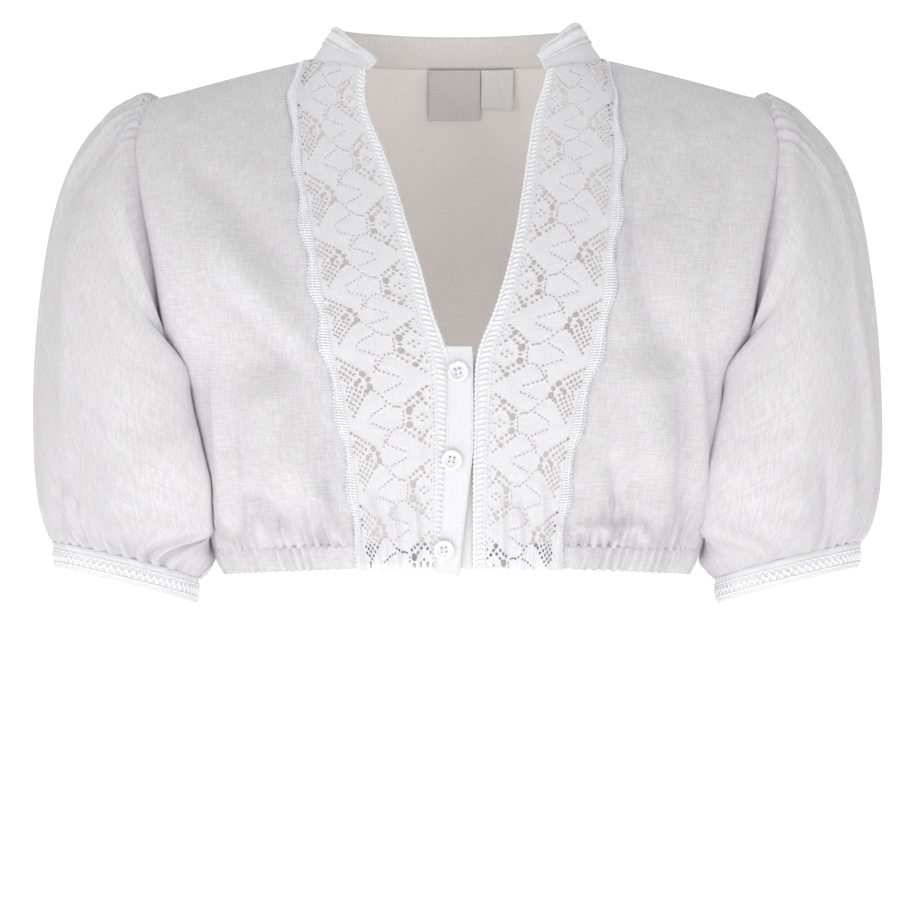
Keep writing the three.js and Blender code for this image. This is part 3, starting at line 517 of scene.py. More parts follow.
def gathers(place, reach, pitch, seed):
    """Uneven small gathers along a seam. place is the distance along it, reach from it into the cloth."""
    drift = 0.35 * value_noise(place / (pitch * 3), reach / 40, seed)
    phase = place / pitch + drift + 0.25 * value_noise(place / (pitch * 6), reach / 12, seed + 1)
    strength = 0.65 + 0.35 * value_noise(place / (pitch * 2), reach / 18, seed + 2)
    wave = np.cos(2 * math.pi * phase)
    return strength * (wave + 0.25 * np.cos(4 * math.pi * phase + 0.7))


def gather_length(place, pitch, shortest, longest, seed):
    """How far each gather runs from its seam, uneven from one to the next."""
    noise = value_noise(place / pitch, np.zeros_like(place), seed)
    return lerp(shortest, longest, (noise + 1) / 2)


def declare(piece, nodes):
    """Lets a piece ride on the part, in the place of its nodes, which it hides."""
    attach(piece, CARRIER)
    if nodes:
        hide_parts(*nodes)
    return piece


def lined(name, node, points, look=linen_look, thickness=LINEN, inside=inside_painted_light_look, **shape):
    """A shell of cloth whose inner half of faces has a second material, with the inside's light and shade
    painted into its colour.
    """
    piece = shell(name, points, look, thickness, **shape)
    mesh = piece.data
    mesh.materials.append(inside)
    half = len(mesh.vertices) // 2
    for face in mesh.polygons:
        if min(face.vertices) >= half:
            face.material_index = 1
    return declare(piece, [node])


def surface_grid(surface, places, levels, rise):
    """Grid on a body surface, moved out by rise(points, places, levels)."""
    points = surface(places, levels)
    return points + outward(points) * rise(points, places, levels)[..., None]


# Body
HEM_PITCH = 6.0
HEM_DEPTH = 2.0
FRONT_FOLDS, FRONT_GATHERS, LACE_FOLDS = 1.45, 1.35, 1.5
left_front_folds = placed(Fold, [
    (-158, -68, -90, -148, -4.6, 10), (-150, -112, -84, -190, 4.2, 10), (-140, -148, -96, -196, -2.0, 6),
    (-116, -196, -94, -276, 6.0, 16), (-130, -264, -104, -292, -3.6, 5, 2),
    (-74, -220, -80, -272, -3.2, 6), (-82, -262, -70, -303, 3.4, 3.4), (-146, -190, -139, -303, 2.6, 4.0),
    (-136, -215, -131, -303, -1.8, 3.0, 1.5), (-120, -282, -116, -303, 2.0, 2.6),
    (-106, -284, -97, -303, 2.2, 2.6), (-168, -60, -152, -150, 1.6, 8.0, -4),
    (-112, -26, -132, -70, -1.6, 9.0),
])
right_front_folds = placed(Fold, [
    (150, -52, 112, -110, -2.4, 10), (100, -88, 128, -190, -4.6, 11, -3), (112, -184, 118, -262, 6.0, 16),
    (84, -280, 121, -288, -0.9, 6, 2), (92, -245, 97, -280, -2.6, 5), (142, -176, 147, -303, 2.8, 4.2, 2),
    (157, -190, 155, -303, 1.6, 3.4), (133, -205, 136, -298, -2.8, 4), (86, -286, 99, -303, 2.2, 3.2),
    (108, -284, 116, -303, 2.0, 3.0), (60, -291, 112, -290, 1.3, 2.6, 1.5),
    (170, -70, 150, -170, -2.2, 7.0, -4), (126, -35, 140, -100, 1.8, 9.0, 4),
])
back_folds = placed(Fold, [
    (-92, -70, -104, -240, 1.3, 11, 6), (84, -60, 97, -250, 1.2, 12, -7),
    (-30, -180, -36, -306, 1.3, 7, 3), (22, -205, 31, -306, 1.5, 6), (-150, -190, -139, -306, 1.4, 5),
    (146, -215, 140, -306, 1.3, 5, 2), (-85, -235, -80, -306, 1.2, 4), (78, -245, 84, -306, 1.1, 4),
    (-140, -90, -160, -175, -1.1, 8, 4), (140, -85, 162, -180, -1.0, 8, -4), (0, -45, -6, -150, 0.8, 14),
])


def hem_gathers(points, seed, share=1.0):
    """Gathers that run up from the elastic casing, uneven in length."""
    place = np.broadcast_to(running_length(points, 1)[0], points.shape[:2])
    up = points[..., 2] - points[0, :, 2][None, :]
    reach = gather_length(place, HEM_PITCH * 1.7, 9, 46, seed)
    fade = np.exp(-((np.maximum(up, 0) / reach) ** 1.6))
    return share * HEM_DEPTH * fade * gathers(place, up, HEM_PITCH, seed)


def panel_levels(count):
    t = np.linspace(0, 1, count)
    return lerp(SEAM_LEVEL + 0.0006, SHOULDER_END, t**1.12)[:, None]


def front_panel(side):
    sign = SIGN[side]
    edge = lace_edge(f"{side}_out")

    def inner(height):
        return sign * np.maximum(np.abs(edge(height)) - 7, np.where(height > -30, 91, 0))

    levels = panel_levels(132)
    u = np.linspace(0, 1, 88)[None, :]
    start = place_at(levels, inner)
    power = 1 + 0.7 * np.clip((levels - 0.6) / 0.25, 0, 1)
    places = lerp(start, sign * SIDE_END, u**power)
    folds = left_front_folds if side == "left" else right_front_folds

    def rise(points, s, level):
        x, z = points[..., 0], points[..., 2]
        clear = ramp(np.abs(x) - np.abs(edge(z)), 0, 9)
        soft = FRONT_FOLDS * rise_of(folds, x, z) + 0.45 * value_noise(x / 17, z / 34, 11)
        gathered = hem_gathers(points, 21 if side == "left" else 31, FRONT_GATHERS)
        near_seam = ramp(1 - level, 0, 0.05) * ramp(1 - np.abs(s), 0, 0.05)
        gathered = gathered * ramp(1 - np.abs(s), 0, 0.02)
        return clear * (soft * near_seam * ramp(level, SEAM_LEVEL, 0.07) + gathered)

    points = surface_grid(front, places, levels, rise)
    return lined(f"cloth_front_{side}", f"front_{side}", points)


def back_panel():
    levels = panel_levels(100)
    u = np.linspace(-1, 1, 162)[None, :]

    def rise(points, s, level):
        x, z = points[..., 0], points[..., 2]
        soft = rise_of(back_folds, x, z) + 0.5 * value_noise(x / 21, z / 38, 12)
        near_seam = ramp(1 - level, 0, 0.06) * ramp(1 - np.abs(s), 0, 0.05)
        gathered = hem_gathers(points, 41)
        return soft * near_seam * ramp(level, SEAM_LEVEL, 0.08) + gathered * ramp(1 - np.abs(s), 0, 0.02)

    return lined("cloth_back", "back", surface_grid(back, u * SIDE_END, levels, rise))


CASING_BULGE = 0.9


def casing(node, surface, places_of, plain_to, seed):
    levels = np.linspace(0, SEAM_LEVEL + 0.004, 12)[:, None]
    places = places_of(levels)

    def rise(points, s, level):
        v = level / SEAM_LEVEL
        place = np.broadcast_to(running_length(points, 1)[-1], points.shape[:2])
        wave = gathers(place, v * 4, HEM_PITCH, seed)
        gathered = ramp(np.abs(points[..., 0]), plain_to - 2, plain_to + 2) if plain_to else 1
        ends = ramp(1 - np.abs(s), 0, 0.02)
        puff = CASING_BULGE * np.sin(math.pi * np.clip(v, 0, 1)) ** 0.8
        tuck = -0.3 * ramp(v, 0.93, 1.02)
        return gathered * ends * (HEM_DEPTH * 1.1 * wave + puff * 0.6 + tuck)

    return lined("cloth_" + node, node, surface_grid(surface, places, levels, rise))


def front_casing_places(sign):
    """Places from the lace's inner edge to the side seam."""
    def places(levels):
        start = place_at(levels, lambda height: sign * 14 + 0 * height)
        return lerp(start, sign * SIDE_END, np.linspace(0, 1, 130)[None, :])
    return places


front_left = front_panel("left")
front_right = front_panel("right")
back_piece = back_panel()
hem_back = casing(
    "hem_back", back, lambda levels: np.linspace(-SIDE_END, SIDE_END, 300)[None, :] + 0 * levels, 0, 41)
hem_left = casing("hem_front_left", front, front_casing_places(-1), 67, 21)
hem_right = casing("hem_front_right", front, front_casing_places(1), 70, 31)

# Sleeves
sleeve_table = Table("along outX outZ inX inZ midX front back midZ swing", [
    (0, 185.5, -26, 175, -205, 185.5, 57, 57, -115.5, 0),
    (0.03, 190.5, -21.5, 177.5, -206, 188, 60, 59, -117, 0),
    (0.08, 202, -26.5, 179.5, -209, 192, 64, 62, -120, 0),
    (0.15, 218, -39.5, 178.8, -214, 197, 69, 66, -128, 1),
    (0.23, 232.5, -55, 176.2, -220, 202, 72.5, 69, -140, 3),
    (0.32, 244, -76, 173.6, -228, 207, 75.5, 72, -156, 5),
    (0.42, 252, -104, 171.2, -238, 211, 77.5, 74, -175, 8),
    (0.52, 257.5, -138, 169, -248, 214, 78, 75, -196, 10),
    (0.62, 261.5, -175, 166.2, -259, 216, 77, 75, -217, 11),
    (0.72, 263, -210, 162.8, -271, 216.5, 75, 73, -239, 11),
    (0.81, 262.5, -242, 159.4, -284, 215.5, 70, 68, -261, 10),
    (0.89, 260, -266, 155.6, -297, 212.5, 62.5, 61, -280, 7),
    (0.95, 255.5, -284, 152.4, -309, 209, 55, 54, -294, 3),
    (1, 249.7, -300, 160.5, -322, 205, 47.5, 47.5, -307.5, 0),
])
SEAM_BLEND = 0.3
SLEEVE_GAP = 0.3
SEAM_ALLOWANCE = 3.5
SLEEVE_GAP_FADE = 0.15
BODY_DEPTH_HEIGHTS = [-318.5, -305, -284, -254, -223, -205]
BODY_DEPTHS = [92, 97, 102, 108, 112, 114]


def sleeve_ring(turn, along):
    row = {key: sleeve_table.read("along", along, key) for key in sleeve_table.columns if key != "along"}
    c, f = np.cos(np.radians(turn)), np.sin(np.radians(turn))
    middle_x, middle_z = (row["outX"] + row["inX"]) / 2, (row["outZ"] + row["inZ"]) / 2
    half_x, half_z = (row["outX"] - row["inX"]) / 2, (row["outZ"] - row["inZ"]) / 2
    depth = np.where(f > 0, -row["front"], row["back"])
    x = middle_x + half_x * c + (row["midX"] - middle_x) * np.abs(f)
    z = middle_z + half_z * c + (row["midZ"] - middle_z) * np.abs(f)
    return stack(x, row["swing"] + depth * np.abs(f), z)


def sleeve_surface(turn, along):
    """Right sleeve: turn 0 at the shoulder tip, 90 in front, 180 at the armpit."""
    turn, along = np.broadcast_arrays(np.asarray(turn, float) % 360, np.asarray(along, float))
    point = sleeve_ring(turn, along)
    in_front, behind = armhole(np.minimum(turn, 180), -1), armhole(360 - np.maximum(turn, 180), 1)
    seam = np.where((turn <= 180)[..., None], in_front, behind)
    share = np.clip(1 - along / SEAM_BLEND, 0, 1) ** 2
    point = point + share[..., None] * (seam - sleeve_ring(turn, 0 * along))
    point[..., 0] += SLEEVE_GAP * np.clip(1 - along / SLEEVE_GAP_FADE, 0, 1)
    return point


class SleeveFold:
    """A soft fold down a sleeve between two places (turn, along)."""

    def __init__(self, start, end, height, width):
        self.start, self.end, self.height, self.width = start, end, height, width

    def rise(self, turn, along):
        t = (along - self.start[1]) / (self.end[1] - self.start[1])
        centre = lerp(self.start[0], self.end[0], t)
        off = (turn - centre + 180) % 360 - 180
        ends = ramp(t, -0.1, 0.3) * (1 - ramp(t, 0.65, 1.1))
        return self.height * ends * np.exp(-((off / self.width) ** 2))


left_sleeve_folds = placed(SleeveFold, [
    (30, 0.02, 24, 0.38, 2.8, 5), (42, 0.03, 38, 0.32, -2.0, 5), (55, 0.25, 70, 0.95, 2.0, 8),
    (118, 0.55, 88, 0.97, 2.0, 6), (156, 0.82, 136, 0.96, -2.6, 4), (134, 0.9, 116, 1.0, -2.2, 4),
    (52, 0.88, 46, 1.0, -2.2, 4), (22, 0.55, 18, 0.9, -2.4, 6), (95, 0.3, 100, 0.8, -1.4, 9),
    (64, 0.86, 62, 1.0, 2.0, 4),
])
right_sleeve_folds = placed(SleeveFold, [
    (38, 0.05, 58, 0.52, 3.2, 6), (57, 0.4, 40, 0.9, 3.4, 6), (28, 0.2, 27, 0.86, -2.2, 6),
    (76, 0.08, 92, 0.5, 1.8, 7), (122, 0.7, 104, 0.98, -3.0, 4.5), (84, 0.76, 70, 1.0, -2.6, 4),
    (97, 0.78, 88, 1.0, 2.6, 5), (150, 0.82, 138, 0.99, -2.4, 4), (60, 0.82, 54, 1.0, 2.2, 4),
    (133, 0.8, 124, 1.0, 2.2, 4),
])
hidden_sleeve_folds = placed(SleeveFold, [
    (210, 0.3, 218, 0.98, 1.6, 6), (240, 0.35, 236, 0.98, 1.5, 6), (268, 0.25, 272, 0.97, 1.4, 7),
    (295, 0.4, 290, 0.98, 1.6, 5), (322, 0.12, 318, 0.75, 1.7, 6), (345, 0.5, 350, 0.98, 1.4, 5),
])


def body_side(points):
    """How far out the body's side lies below the armpit, beside each point."""
    height = points[..., 2]
    depth = np.interp(height, BODY_DEPTH_HEIGHTS, BODY_DEPTHS)
    share = np.clip(np.abs(points[..., 1]) / depth, 0, 0.98) ** ROUNDING
    return side_table.read("height", height, "reach") * (1 - share) ** (1 / ROUNDING)


def away_from(middle, points):
    """Unit normals of a closed grid that point away from its middle line."""
    normal = grid_normals(points, closed=True)
    return normal * np.where(((points - middle) * normal).sum(-1).mean() < 0, -1, 1)


SLEEVE_COLUMNS, SLEEVE_ROWS = 260, 84
HEAD_PITCH = 6.4
CUFF_PITCH = 10.0
GATHER_RISE = 3.7
FOLD_SHARE = 1.35
WEAVE_PER_DEGREE = 1.4
BODY_GAP = 2.0


def sleeve_fullness(around, length, from_cuff):
    """Flat cap behind the shoulder seam, and cloth that stands out in front and beside the armpit."""
    cap = 3.4 * np.exp(-((around / 26) ** 2)) * ramp(length, 0, 4) * (1 - ramp(length, 8, 30))
    valley = ramp(around, 30, 80) * (1 - ramp(around, 145, 174))
    valley_out = 10.5 * valley * ramp(length, 0, 11) * (1 - ramp(length, 60, 150))
    flank = ramp(around, 92, 128) * (1 - ramp(around, 150, 176))
    return cap, valley_out + 11.0 * flank * ramp(length, 40, 110) * ramp(from_cuff, 8, 60)


def sleeve_gathers(turn, around, length, from_cuff, seed):
    """Gathers at the sleeve's head and at its cuff."""
    head_place = np.broadcast_to(around * 1.15, length.shape)
    head_reach = gather_length(head_place, 8, 14, 42, seed)
    head = np.exp(-((length / head_reach) ** 1.5)) * ramp(64 - np.abs(around), 0, 30)
    head_wave = GATHER_RISE * head * gathers(head_place, length, HEAD_PITCH, seed + 3) * ramp(length, -2, 4)
    cuff_place = np.broadcast_to(turn / 360 * 300, length.shape)
    cuff_reach = gather_length(cuff_place, 14, 7, 44, seed + 5)
    cluster = np.clip(0.75 + 0.8 * value_noise(cuff_place / 26, from_cuff * 0, seed + 9), 0.3, 1.3)
    cuff_fade = np.exp(-((from_cuff / cuff_reach) ** 1.5))
    cuff_wave = cluster * cuff_fade * gathers(cuff_place, from_cuff, CUFF_PITCH, seed + 6)
    return head_wave, cuff_wave * (GATHER_RISE * lerp(0.45, 1, ramp(from_cuff, 0, 7)))


def beside_body(points, around, length, from_cuff):
    """Lays the sleeve's inner side against the body below the armpit, and keeps it outside."""
    touch = body_side(points) + BODY_GAP + 2 * ramp(-points[..., 2], 295, 306)
    beside = ramp(np.abs(around), 94, 126) * ramp(from_cuff, 4, 24) * ramp(-points[..., 2], 120, 205)
    beside = beside * ramp(length, 10, 40)
    pressed = points[..., 0] - beside * np.maximum(points[..., 0] - touch, 0)
    return np.where(points[..., 2] < ARMPIT_HEIGHT - 4, np.maximum(pressed, touch), pressed)


def sleeve_piece(side):
    share = np.arange(SLEEVE_COLUMNS) / SLEEVE_COLUMNS
    turn = (360 * (share - 0.075 * np.sin(2 * math.pi * share)))[None, :]
    around = (turn + 180) % 360 - 180
    t = np.linspace(0, 1, SLEEVE_ROWS)[:, None]
    along = t - 0.085 * np.sin(2 * math.pi * t)
    points = sleeve_surface(turn, along)
    middle = points.mean(axis=1, keepdims=True)
    seed = 51 if side == "left" else 61
    length = running_length(points)
    from_cuff = length[-1] - length
    cap, fullness = sleeve_fullness(around, length, from_cuff)
    head_wave, cuff_wave = sleeve_gathers(turn, around, length, from_cuff, seed)
    soft = np.zeros(length.shape)
    for fold in (left_sleeve_folds if side == "left" else right_sleeve_folds) + hidden_sleeve_folds:
        soft += FOLD_SHARE * fold.rise(turn, along)
    soft += 0.8 * value_noise(np.broadcast_to(turn / 22.5, soft.shape), along * 6, seed + 8, size=16)
    soft *= ramp(length, 0, 25) * ramp(from_cuff, 0, 12)
    rise = soft + (head_wave - cap + fullness) + cuff_wave
    points = points + away_from(middle, points) * rise[..., None]
    points[..., 0] = beside_body(points, around, length, from_cuff)
    normal = away_from(middle, points)
    tuck = (points[:1] - middle[:1]) * 0.972 + middle[:1] - np.array([SEAM_ALLOWANCE, 0, 0])
    points = np.concatenate([tuck, points])
    normal = np.concatenate([normal[:1], normal])
    length = np.concatenate([length[:1] - SEAM_ALLOWANCE, length])
    mirror = np.array([SIGN[side], 1, 1])
    uv = np.stack(np.broadcast_arrays(around * WEAVE_PER_DEGREE, length), -1)
    return lined(f"cloth_sleeve_{side}", f"sleeve_{side}", points * mirror, normal=normal * mirror,
                 closed=True, uv=uv)


sleeve_left = sleeve_piece("left")
sleeve_right = sleeve_piece("right")


# Cords and braids
def heading(path):
    return unit(np.gradient(path, axis=0))


def tube(path, normal, radius, sides=6):
    """Points and faces of a closed tube along a path."""
    along = heading(path)
    side = unit(np.cross(along, normal))
    up = np.cross(side, along)
    angle = (np.arange(sides) / sides * 2 * math.pi)[None, :, None]
    rings = path[:, None] + radius * (np.cos(angle) * side[:, None] + np.sin(angle) * up[:, None])
    index = np.arange(len(path) * sides).reshape(-1, sides)
    right = np.roll(index, -1, axis=1)
    quads = np.stack([index[:-1], right[:-1], right[1:], index[1:]], -1).reshape(-1, 4).tolist()
    return rings.reshape(-1, 3), quads + [index[0, ::-1].tolist(), index[-1].tolist()]


def join_parts(parts):
    points, faces, start = [], [], 0
    for part_points, part_faces in parts:
        points.append(part_points)
        faces += [[i + start for i in face] for face in part_faces]
        start += len(part_points)
    return np.concatenate(points), faces


def cord_piece(name, parts, look, slot, *nodes):
    points, faces = join_parts(parts)
    uv = np.stack([points[:, 0] + points[:, 1], points[:, 2]], -1)
    return declare(build_mesh(name, points, faces, look, uv), nodes)


def sample(line, length, at):
    return np.stack([np.interp(at, length, line[:, k]) for k in range(3)], -1)


def resample(points, normals, step):
    length = running_length(points)
    at = np.arange(0, length[-1], step)
    return at, sample(points, length, at), unit(sample(normals, length, at))


def sideways(path, normal):
    return unit(np.cross(np.gradient(path, axis=0), normal))


# Lace
PATTERN_WIDTH = 74.0
PATTERN_REPEAT = 43.4
BORDER_START = 64.0

# Holes of one repeat, charted from the ring flower: across from the inner edge, along towards the neck,
# half sizes, turn in degrees and how square they are
chart = [
    # flower and the holes beside it
    (10.4, 0.1, 0.95, 0.8, 0, 2.5), (15.2, 0.2, 0.95, 0.8, 0, 2.5), (12.8, 1.85, 0.85, 0.75, 0, 2.5),
    (12.8, -1.75, 0.85, 0.75, 0, 2.5), (19.8, 4.0, 1.9, 2.4, 10, 3), (20.2, -4.4, 2.0, 2.0, -10, 3),
    (19.9, -0.3, 1.35, 0.75, 0, 3), (14.0, 13.6, 1.5, 1.45, 40, 4), (14.1, -12.9, 1.5, 1.4, 40, 4),
    (10.6, 8.3, 1.1, 1.1, 20, 3), (10.5, -7.9, 0.95, 1.25, 15, 3), (8.5, 6.1, 0.5, 0.9, 20, 3),
    (8.6, -6.1, 0.5, 0.8, -20, 3), (8.4, 11.4, 0.5, 0.9, 10, 3), (8.6, -11.3, 0.5, 1.0, -10, 3),
    (8.3, 15.3, 0.45, 0.8, 0, 3),
    # big holes at the base of the inward petal
    (46.9, 25.0, 2.2, 1.75, 20, 3), (43.7, 21.9, 1.9, 1.3, -35, 3), (43.2, 17.6, 1.9, 2.0, 10, 3),
    (46.0, 14.9, 1.6, 1.35, 30, 3), (52.4, 19.4, 1.6, 1.9, 20, 3), (49.7, 21.3, 1.4, 1.2, 30, 3),
    (49.0, 17.6, 1.2, 1.2, 40, 3),
    # ends of the two petals' outlines
    (46.6, -1.1, 0.4, 0.8, 0, 2.5), (22.2, 21.8, 0.4, 0.8, 0, 2.5),
]
# Rows of holes in the nets: place of the first, step to the next, count, half size and turn
net_rows = [
    # inner net on both sides of the ring
    (21.6, 7.9, -2.25, 1.88, 3, 1.1, 45), (11.7, 16.3, -2.0, 1.7, 2, 0.95, 45),
    (17.0, 6.9, -2.35, 2.0, 3, 1.1, 45), (22.8, -7.5, -2.35, -1.75, 3, 1.05, 45),
    (11.6, -15.4, -2.0, -1.6, 2, 0.9, 45), (17.0, -6.9, -2.5, -1.85, 3, 1.1, 45),
    # outer net, along the upper edge and along the lower edge of its triangle
    (50.2, 27.6, 2.55, 1.3, 6, 1.12, 27), (52.9, 24.6, 2.5, 1.45, 4, 1.12, 30),
    (55.6, 21.9, 2.35, 1.45, 4, 1.08, 32), (58.2, 19.9, 2.2, 1.5, 3, 1.0, 34),
    (48.0, 12.9, 2.15, -2.45, 6, 1.08, -49), (50.6, 14.7, 2.05, -2.45, 5, 1.12, -50),
    (53.3, 15.9, 1.95, -2.4, 5, 1.08, -51), (56.2, 16.9, 1.8, -2.3, 4, 1.02, -52),
    (59.2, 17.4, 1.5, -2.4, 2, 0.9, -52),
]
# Rows of dots along the outlines: place of the first, step to the next, count and turn
dot_rows = [
    # outward petal, its base and the crossings
    (44.9, 1.2, -2.5, 1.38, 5, -30), (44.9, -3.6, -2.65, -0.92, 5, 18), (23.4, 3.4, 0.15, -2.5, 4, 90),
    (25.3, 5.9, 2.0, 0.55, 2, 10), (29.3, 6.5, 2.1, 1.55, 3, 35), (35.6, 11.9, 2.5, 1.75, 3, 35),
    (25.3, -6.1, 2.5, -0.15, 2, 0), (30.3, -7.1, 1.9, -1.8, 3, -40), (35.4, -12.9, 1.7, -2.2, 3, -50),
    # inward petal
    (24.4, 23.6, 2.75, 0.85, 5, 18), (37.9, 29.6, -1.3, 3.2, 2, -60), (23.7, 19.4, 2.5, -1.15, 5, -25),
]
hole_rows = [(*row[:5], row[5], row[5], row[6], 4) for row in net_rows]
hole_rows += [(*row[:5], 0.88, 0.62, row[5], 3) for row in dot_rows]
for across, along, step_across, step_along, count, *form in hole_rows:
    chart += [(across + i * step_across, along + i * step_along, *form) for i in range(count)]

# Broad clothwork trail: its middle goes from the inner border, half a repeat away, to the outer border
TRAIL_TURNS = [(-21.7, 15), (-12, 28), (-6, 44), (-1.5, 55), (3, 50), (9, 36), (15, 22), (21.7, 15)]
# Spare width on each side of a thread of the nets
NET_BAR = 0.14
# No hole is larger than HOLE_REACH, and FAR is the distance where none is near
HOLE_REACH, FAR = 4, 9.0
# Slanted slits between the inner braid and its cord
LADDER_PITCH = 2.71


def in_repeat(along):
    return (along + PATTERN_REPEAT / 2) % PATTERN_REPEAT - PATTERN_REPEAT / 2


def hole_field(across, along):
    """Distance in millimetres to the nearest hole of the chart, negative inside it."""
    along = in_repeat(along)
    field = np.full(across.shape, FAR)
    for x0, y0, half_x, half_y, turn, square in chart:
        c, s = math.cos(math.radians(turn)), math.sin(math.radians(turn))
        for shift in (-PATTERN_REPEAT, 0, PATTERN_REPEAT):
            dx, dy = across - x0, along - (y0 + shift)
            near = (np.abs(dx) < HOLE_REACH) & (np.abs(dy) < HOLE_REACH)
            if not near.any():
                continue
            a = np.abs(dx[near] * c + dy[near] * s) / half_x
            b = np.abs(dy[near] * c - dx[near] * s) / half_y
            reach = ((a**square + b**square) ** (1 / square) - 1) * min(half_x, half_y)
            bar = NET_BAR if 0.89 < half_x < 1.3 else 0
            field[near] = np.minimum(field[near], reach + bar)
    ladder = np.abs(np.cos(math.pi * (along + 0.8 * across) / LADDER_PITCH))
    slits = np.hypot((across - 6.9) / 1.15, (ladder - 1) * 4.5) - 0.62
    return np.minimum(field, np.where((across > 5.6) & (across < 8.4) & (slits < 1), slits, FAR))


def carry(values, kept, sources):
    """Values of a grid at the points of its cut sheet."""
    flat = values.reshape(-1, values.shape[-1])
    return np.concatenate([flat[kept]] + [lerp(flat[a], flat[b], t) for a, b, t in sources])


def cut_sheet(points, normal, field, thickness):
    """A wall with holes, from a grid and a field that is negative in the holes (marching squares)."""
    index = np.arange(field.size).reshape(field.shape)
    field = np.where(np.abs(field) < 1e-4, 1e-4, field).ravel()
    kept = np.flatnonzero(field > 0)
    corner = -np.ones(index.shape, int)
    corner.ravel()[kept] = np.arange(len(kept))
    sources, total = [], len(kept)

    def crossings(first, second):
        nonlocal total
        a, b = first.ravel(), second.ravel()
        cut = (field[a] > 0) != (field[b] > 0)
        number = -np.ones(len(a), int)
        number[cut] = np.arange(cut.sum()) + total
        total += int(cut.sum())
        a, b = a[cut], b[cut]
        sources.append((a, b, np.clip(field[a] / (field[a] - field[b]), 0.06, 0.94)[:, None]))
        return number.reshape(first.shape)

    across_cut = crossings(index[:, :-1], index[:, 1:])
    down_cut = crossings(index[:-1], index[1:])
    cells = np.stack([corner[:-1, :-1], corner[:-1, 1:], corner[1:, 1:], corner[1:, :-1]], -1)
    cuts = np.stack([across_cut[:-1], down_cut[:, 1:], across_cut[1:], down_cut[:, :-1]], -1)
    inside = (cells >= 0).sum(-1)
    faces, rim = cells[inside == 4].tolist(), []
    mixed = (inside > 0) & (inside < 4)
    for ring, cut in zip(cells[mixed].tolist(), cuts[mixed].tolist()):
        state = [number >= 0 for number in ring]
        if state[:2] == state[2:]:
            # Only two corners across from each other are on the sheet
            for k in range(4):
                if state[k]:
                    faces.append([ring[k], cut[k], cut[k - 1]])
                    rim.append((cut[k], cut[k - 1]))
            continue
        polygon = []
        for k in range(4):
            after = state[(k + 1) % 4]
            if state[k]:
                polygon.append(ring[k])
            if state[k] != after:
                polygon.append(cut[k])
            if state[k] and not after:
                leave = cut[k]
            elif after and not state[k]:
                enter = cut[k]
        faces.append(polygon)
        rim.append((leave, enter))
    borders = [
        (corner[0, :-1], corner[0, 1:], across_cut[0]), (corner[-1, 1:], corner[-1, :-1], across_cut[-1]),
        (corner[1:, 0], corner[:-1, 0], down_cut[:, 0]), (corner[:-1, -1], corner[1:, -1], down_cut[:, -1]),
    ]
    for a, b, cut in np.concatenate([np.stack(border, -1) for border in borders]).tolist():
        if cut >= 0:
            a, b = (a, cut) if a >= 0 else (cut, b)
        if min(a, b) >= 0:
            rim.append((a, b))
    faces += [[i + total for i in face[::-1]] for face in faces]
    faces += [[b, a, a + total, b + total] for a, b in rim]
    wall = both_sides(carry(points, kept, sources), unit(carry(normal, kept, sources)), thickness)
    return wall, faces, kept, sources


LACE_COLUMNS, LACE_ROWS = 97, 414
# Share of the width past the outer edge, which the scallops are cut from
LACE_SPARE = 0.012
SHOULDER_LIFT, COLLAR_DIP, SEWN_DOWN = 2.2, 3.4, 0.8


class LaceBand:
    """Grid of one lace band, with its place in the pattern at each point."""

    def __init__(self, side):
        self.side = side
        self.sign = SIGN[side]
        self.levels = (SHOULDER_END * np.linspace(0, 1, LACE_ROWS) ** 0.985)[:, None]
        start, end = [
            self.sign * np.abs(place_at(self.levels, lace_edge(f"{side}_{edge}"))) for edge in ("in", "out")
        ]
        self.u = np.linspace(0, 1 + LACE_SPARE, LACE_COLUMNS)[None, :]
        base = front(lerp(start, end, self.u), self.levels)
        self.normal = outward(base)
        repeat = flower_tables[side].read("height", base[..., 2].mean(axis=1, keepdims=True), "repeat")
        self.across = np.broadcast_to(self.u * PATTERN_WIDTH, base.shape[:2])
        self.along = np.broadcast_to(-repeat * PATTERN_REPEAT, base.shape[:2])
        # Over the shoulder the outer edge lies on the linen, and at the collar seam it goes down under it
        lift = SHOULDER_LIFT * np.clip(self.u, 0, 1) * np.clip((self.levels - 0.8) / 0.07, 0, 1)
        lift = lift * (1 - 0.65 * ramp(self.u, 0.93, 1))
        lift = lift - COLLAR_DIP * ramp(self.levels / SHOULDER_END, 0.965, 1) * ramp(self.u, 0.3, 0.7)
        sewn_down = SEWN_DOWN * ramp(self.u, 0.9, 0.99)
        self.base = base + self.normal * (LACE_OFFSET - sewn_down + lift + self.folds(base))[..., None]

    def folds(self, base):
        """Long folds that the hem elastic pushes up into the lace, and a slight wave at its outer edge."""
        x, z = base[..., 0], base[..., 2]
        raised = ramp(np.abs(x), 17, 24) * np.maximum(LACE_FOLDS * rise_of(lace_folds[self.side], x, z), -0.5)
        edge_wave = 0.5 * ramp(self.u, 0.7, 1) * np.cos(2 * math.pi * self.along / PATTERN_REPEAT * 2 + 0.6)
        return raised + edge_wave + 0.15 * value_noise(x / 9, z / 12, 14)


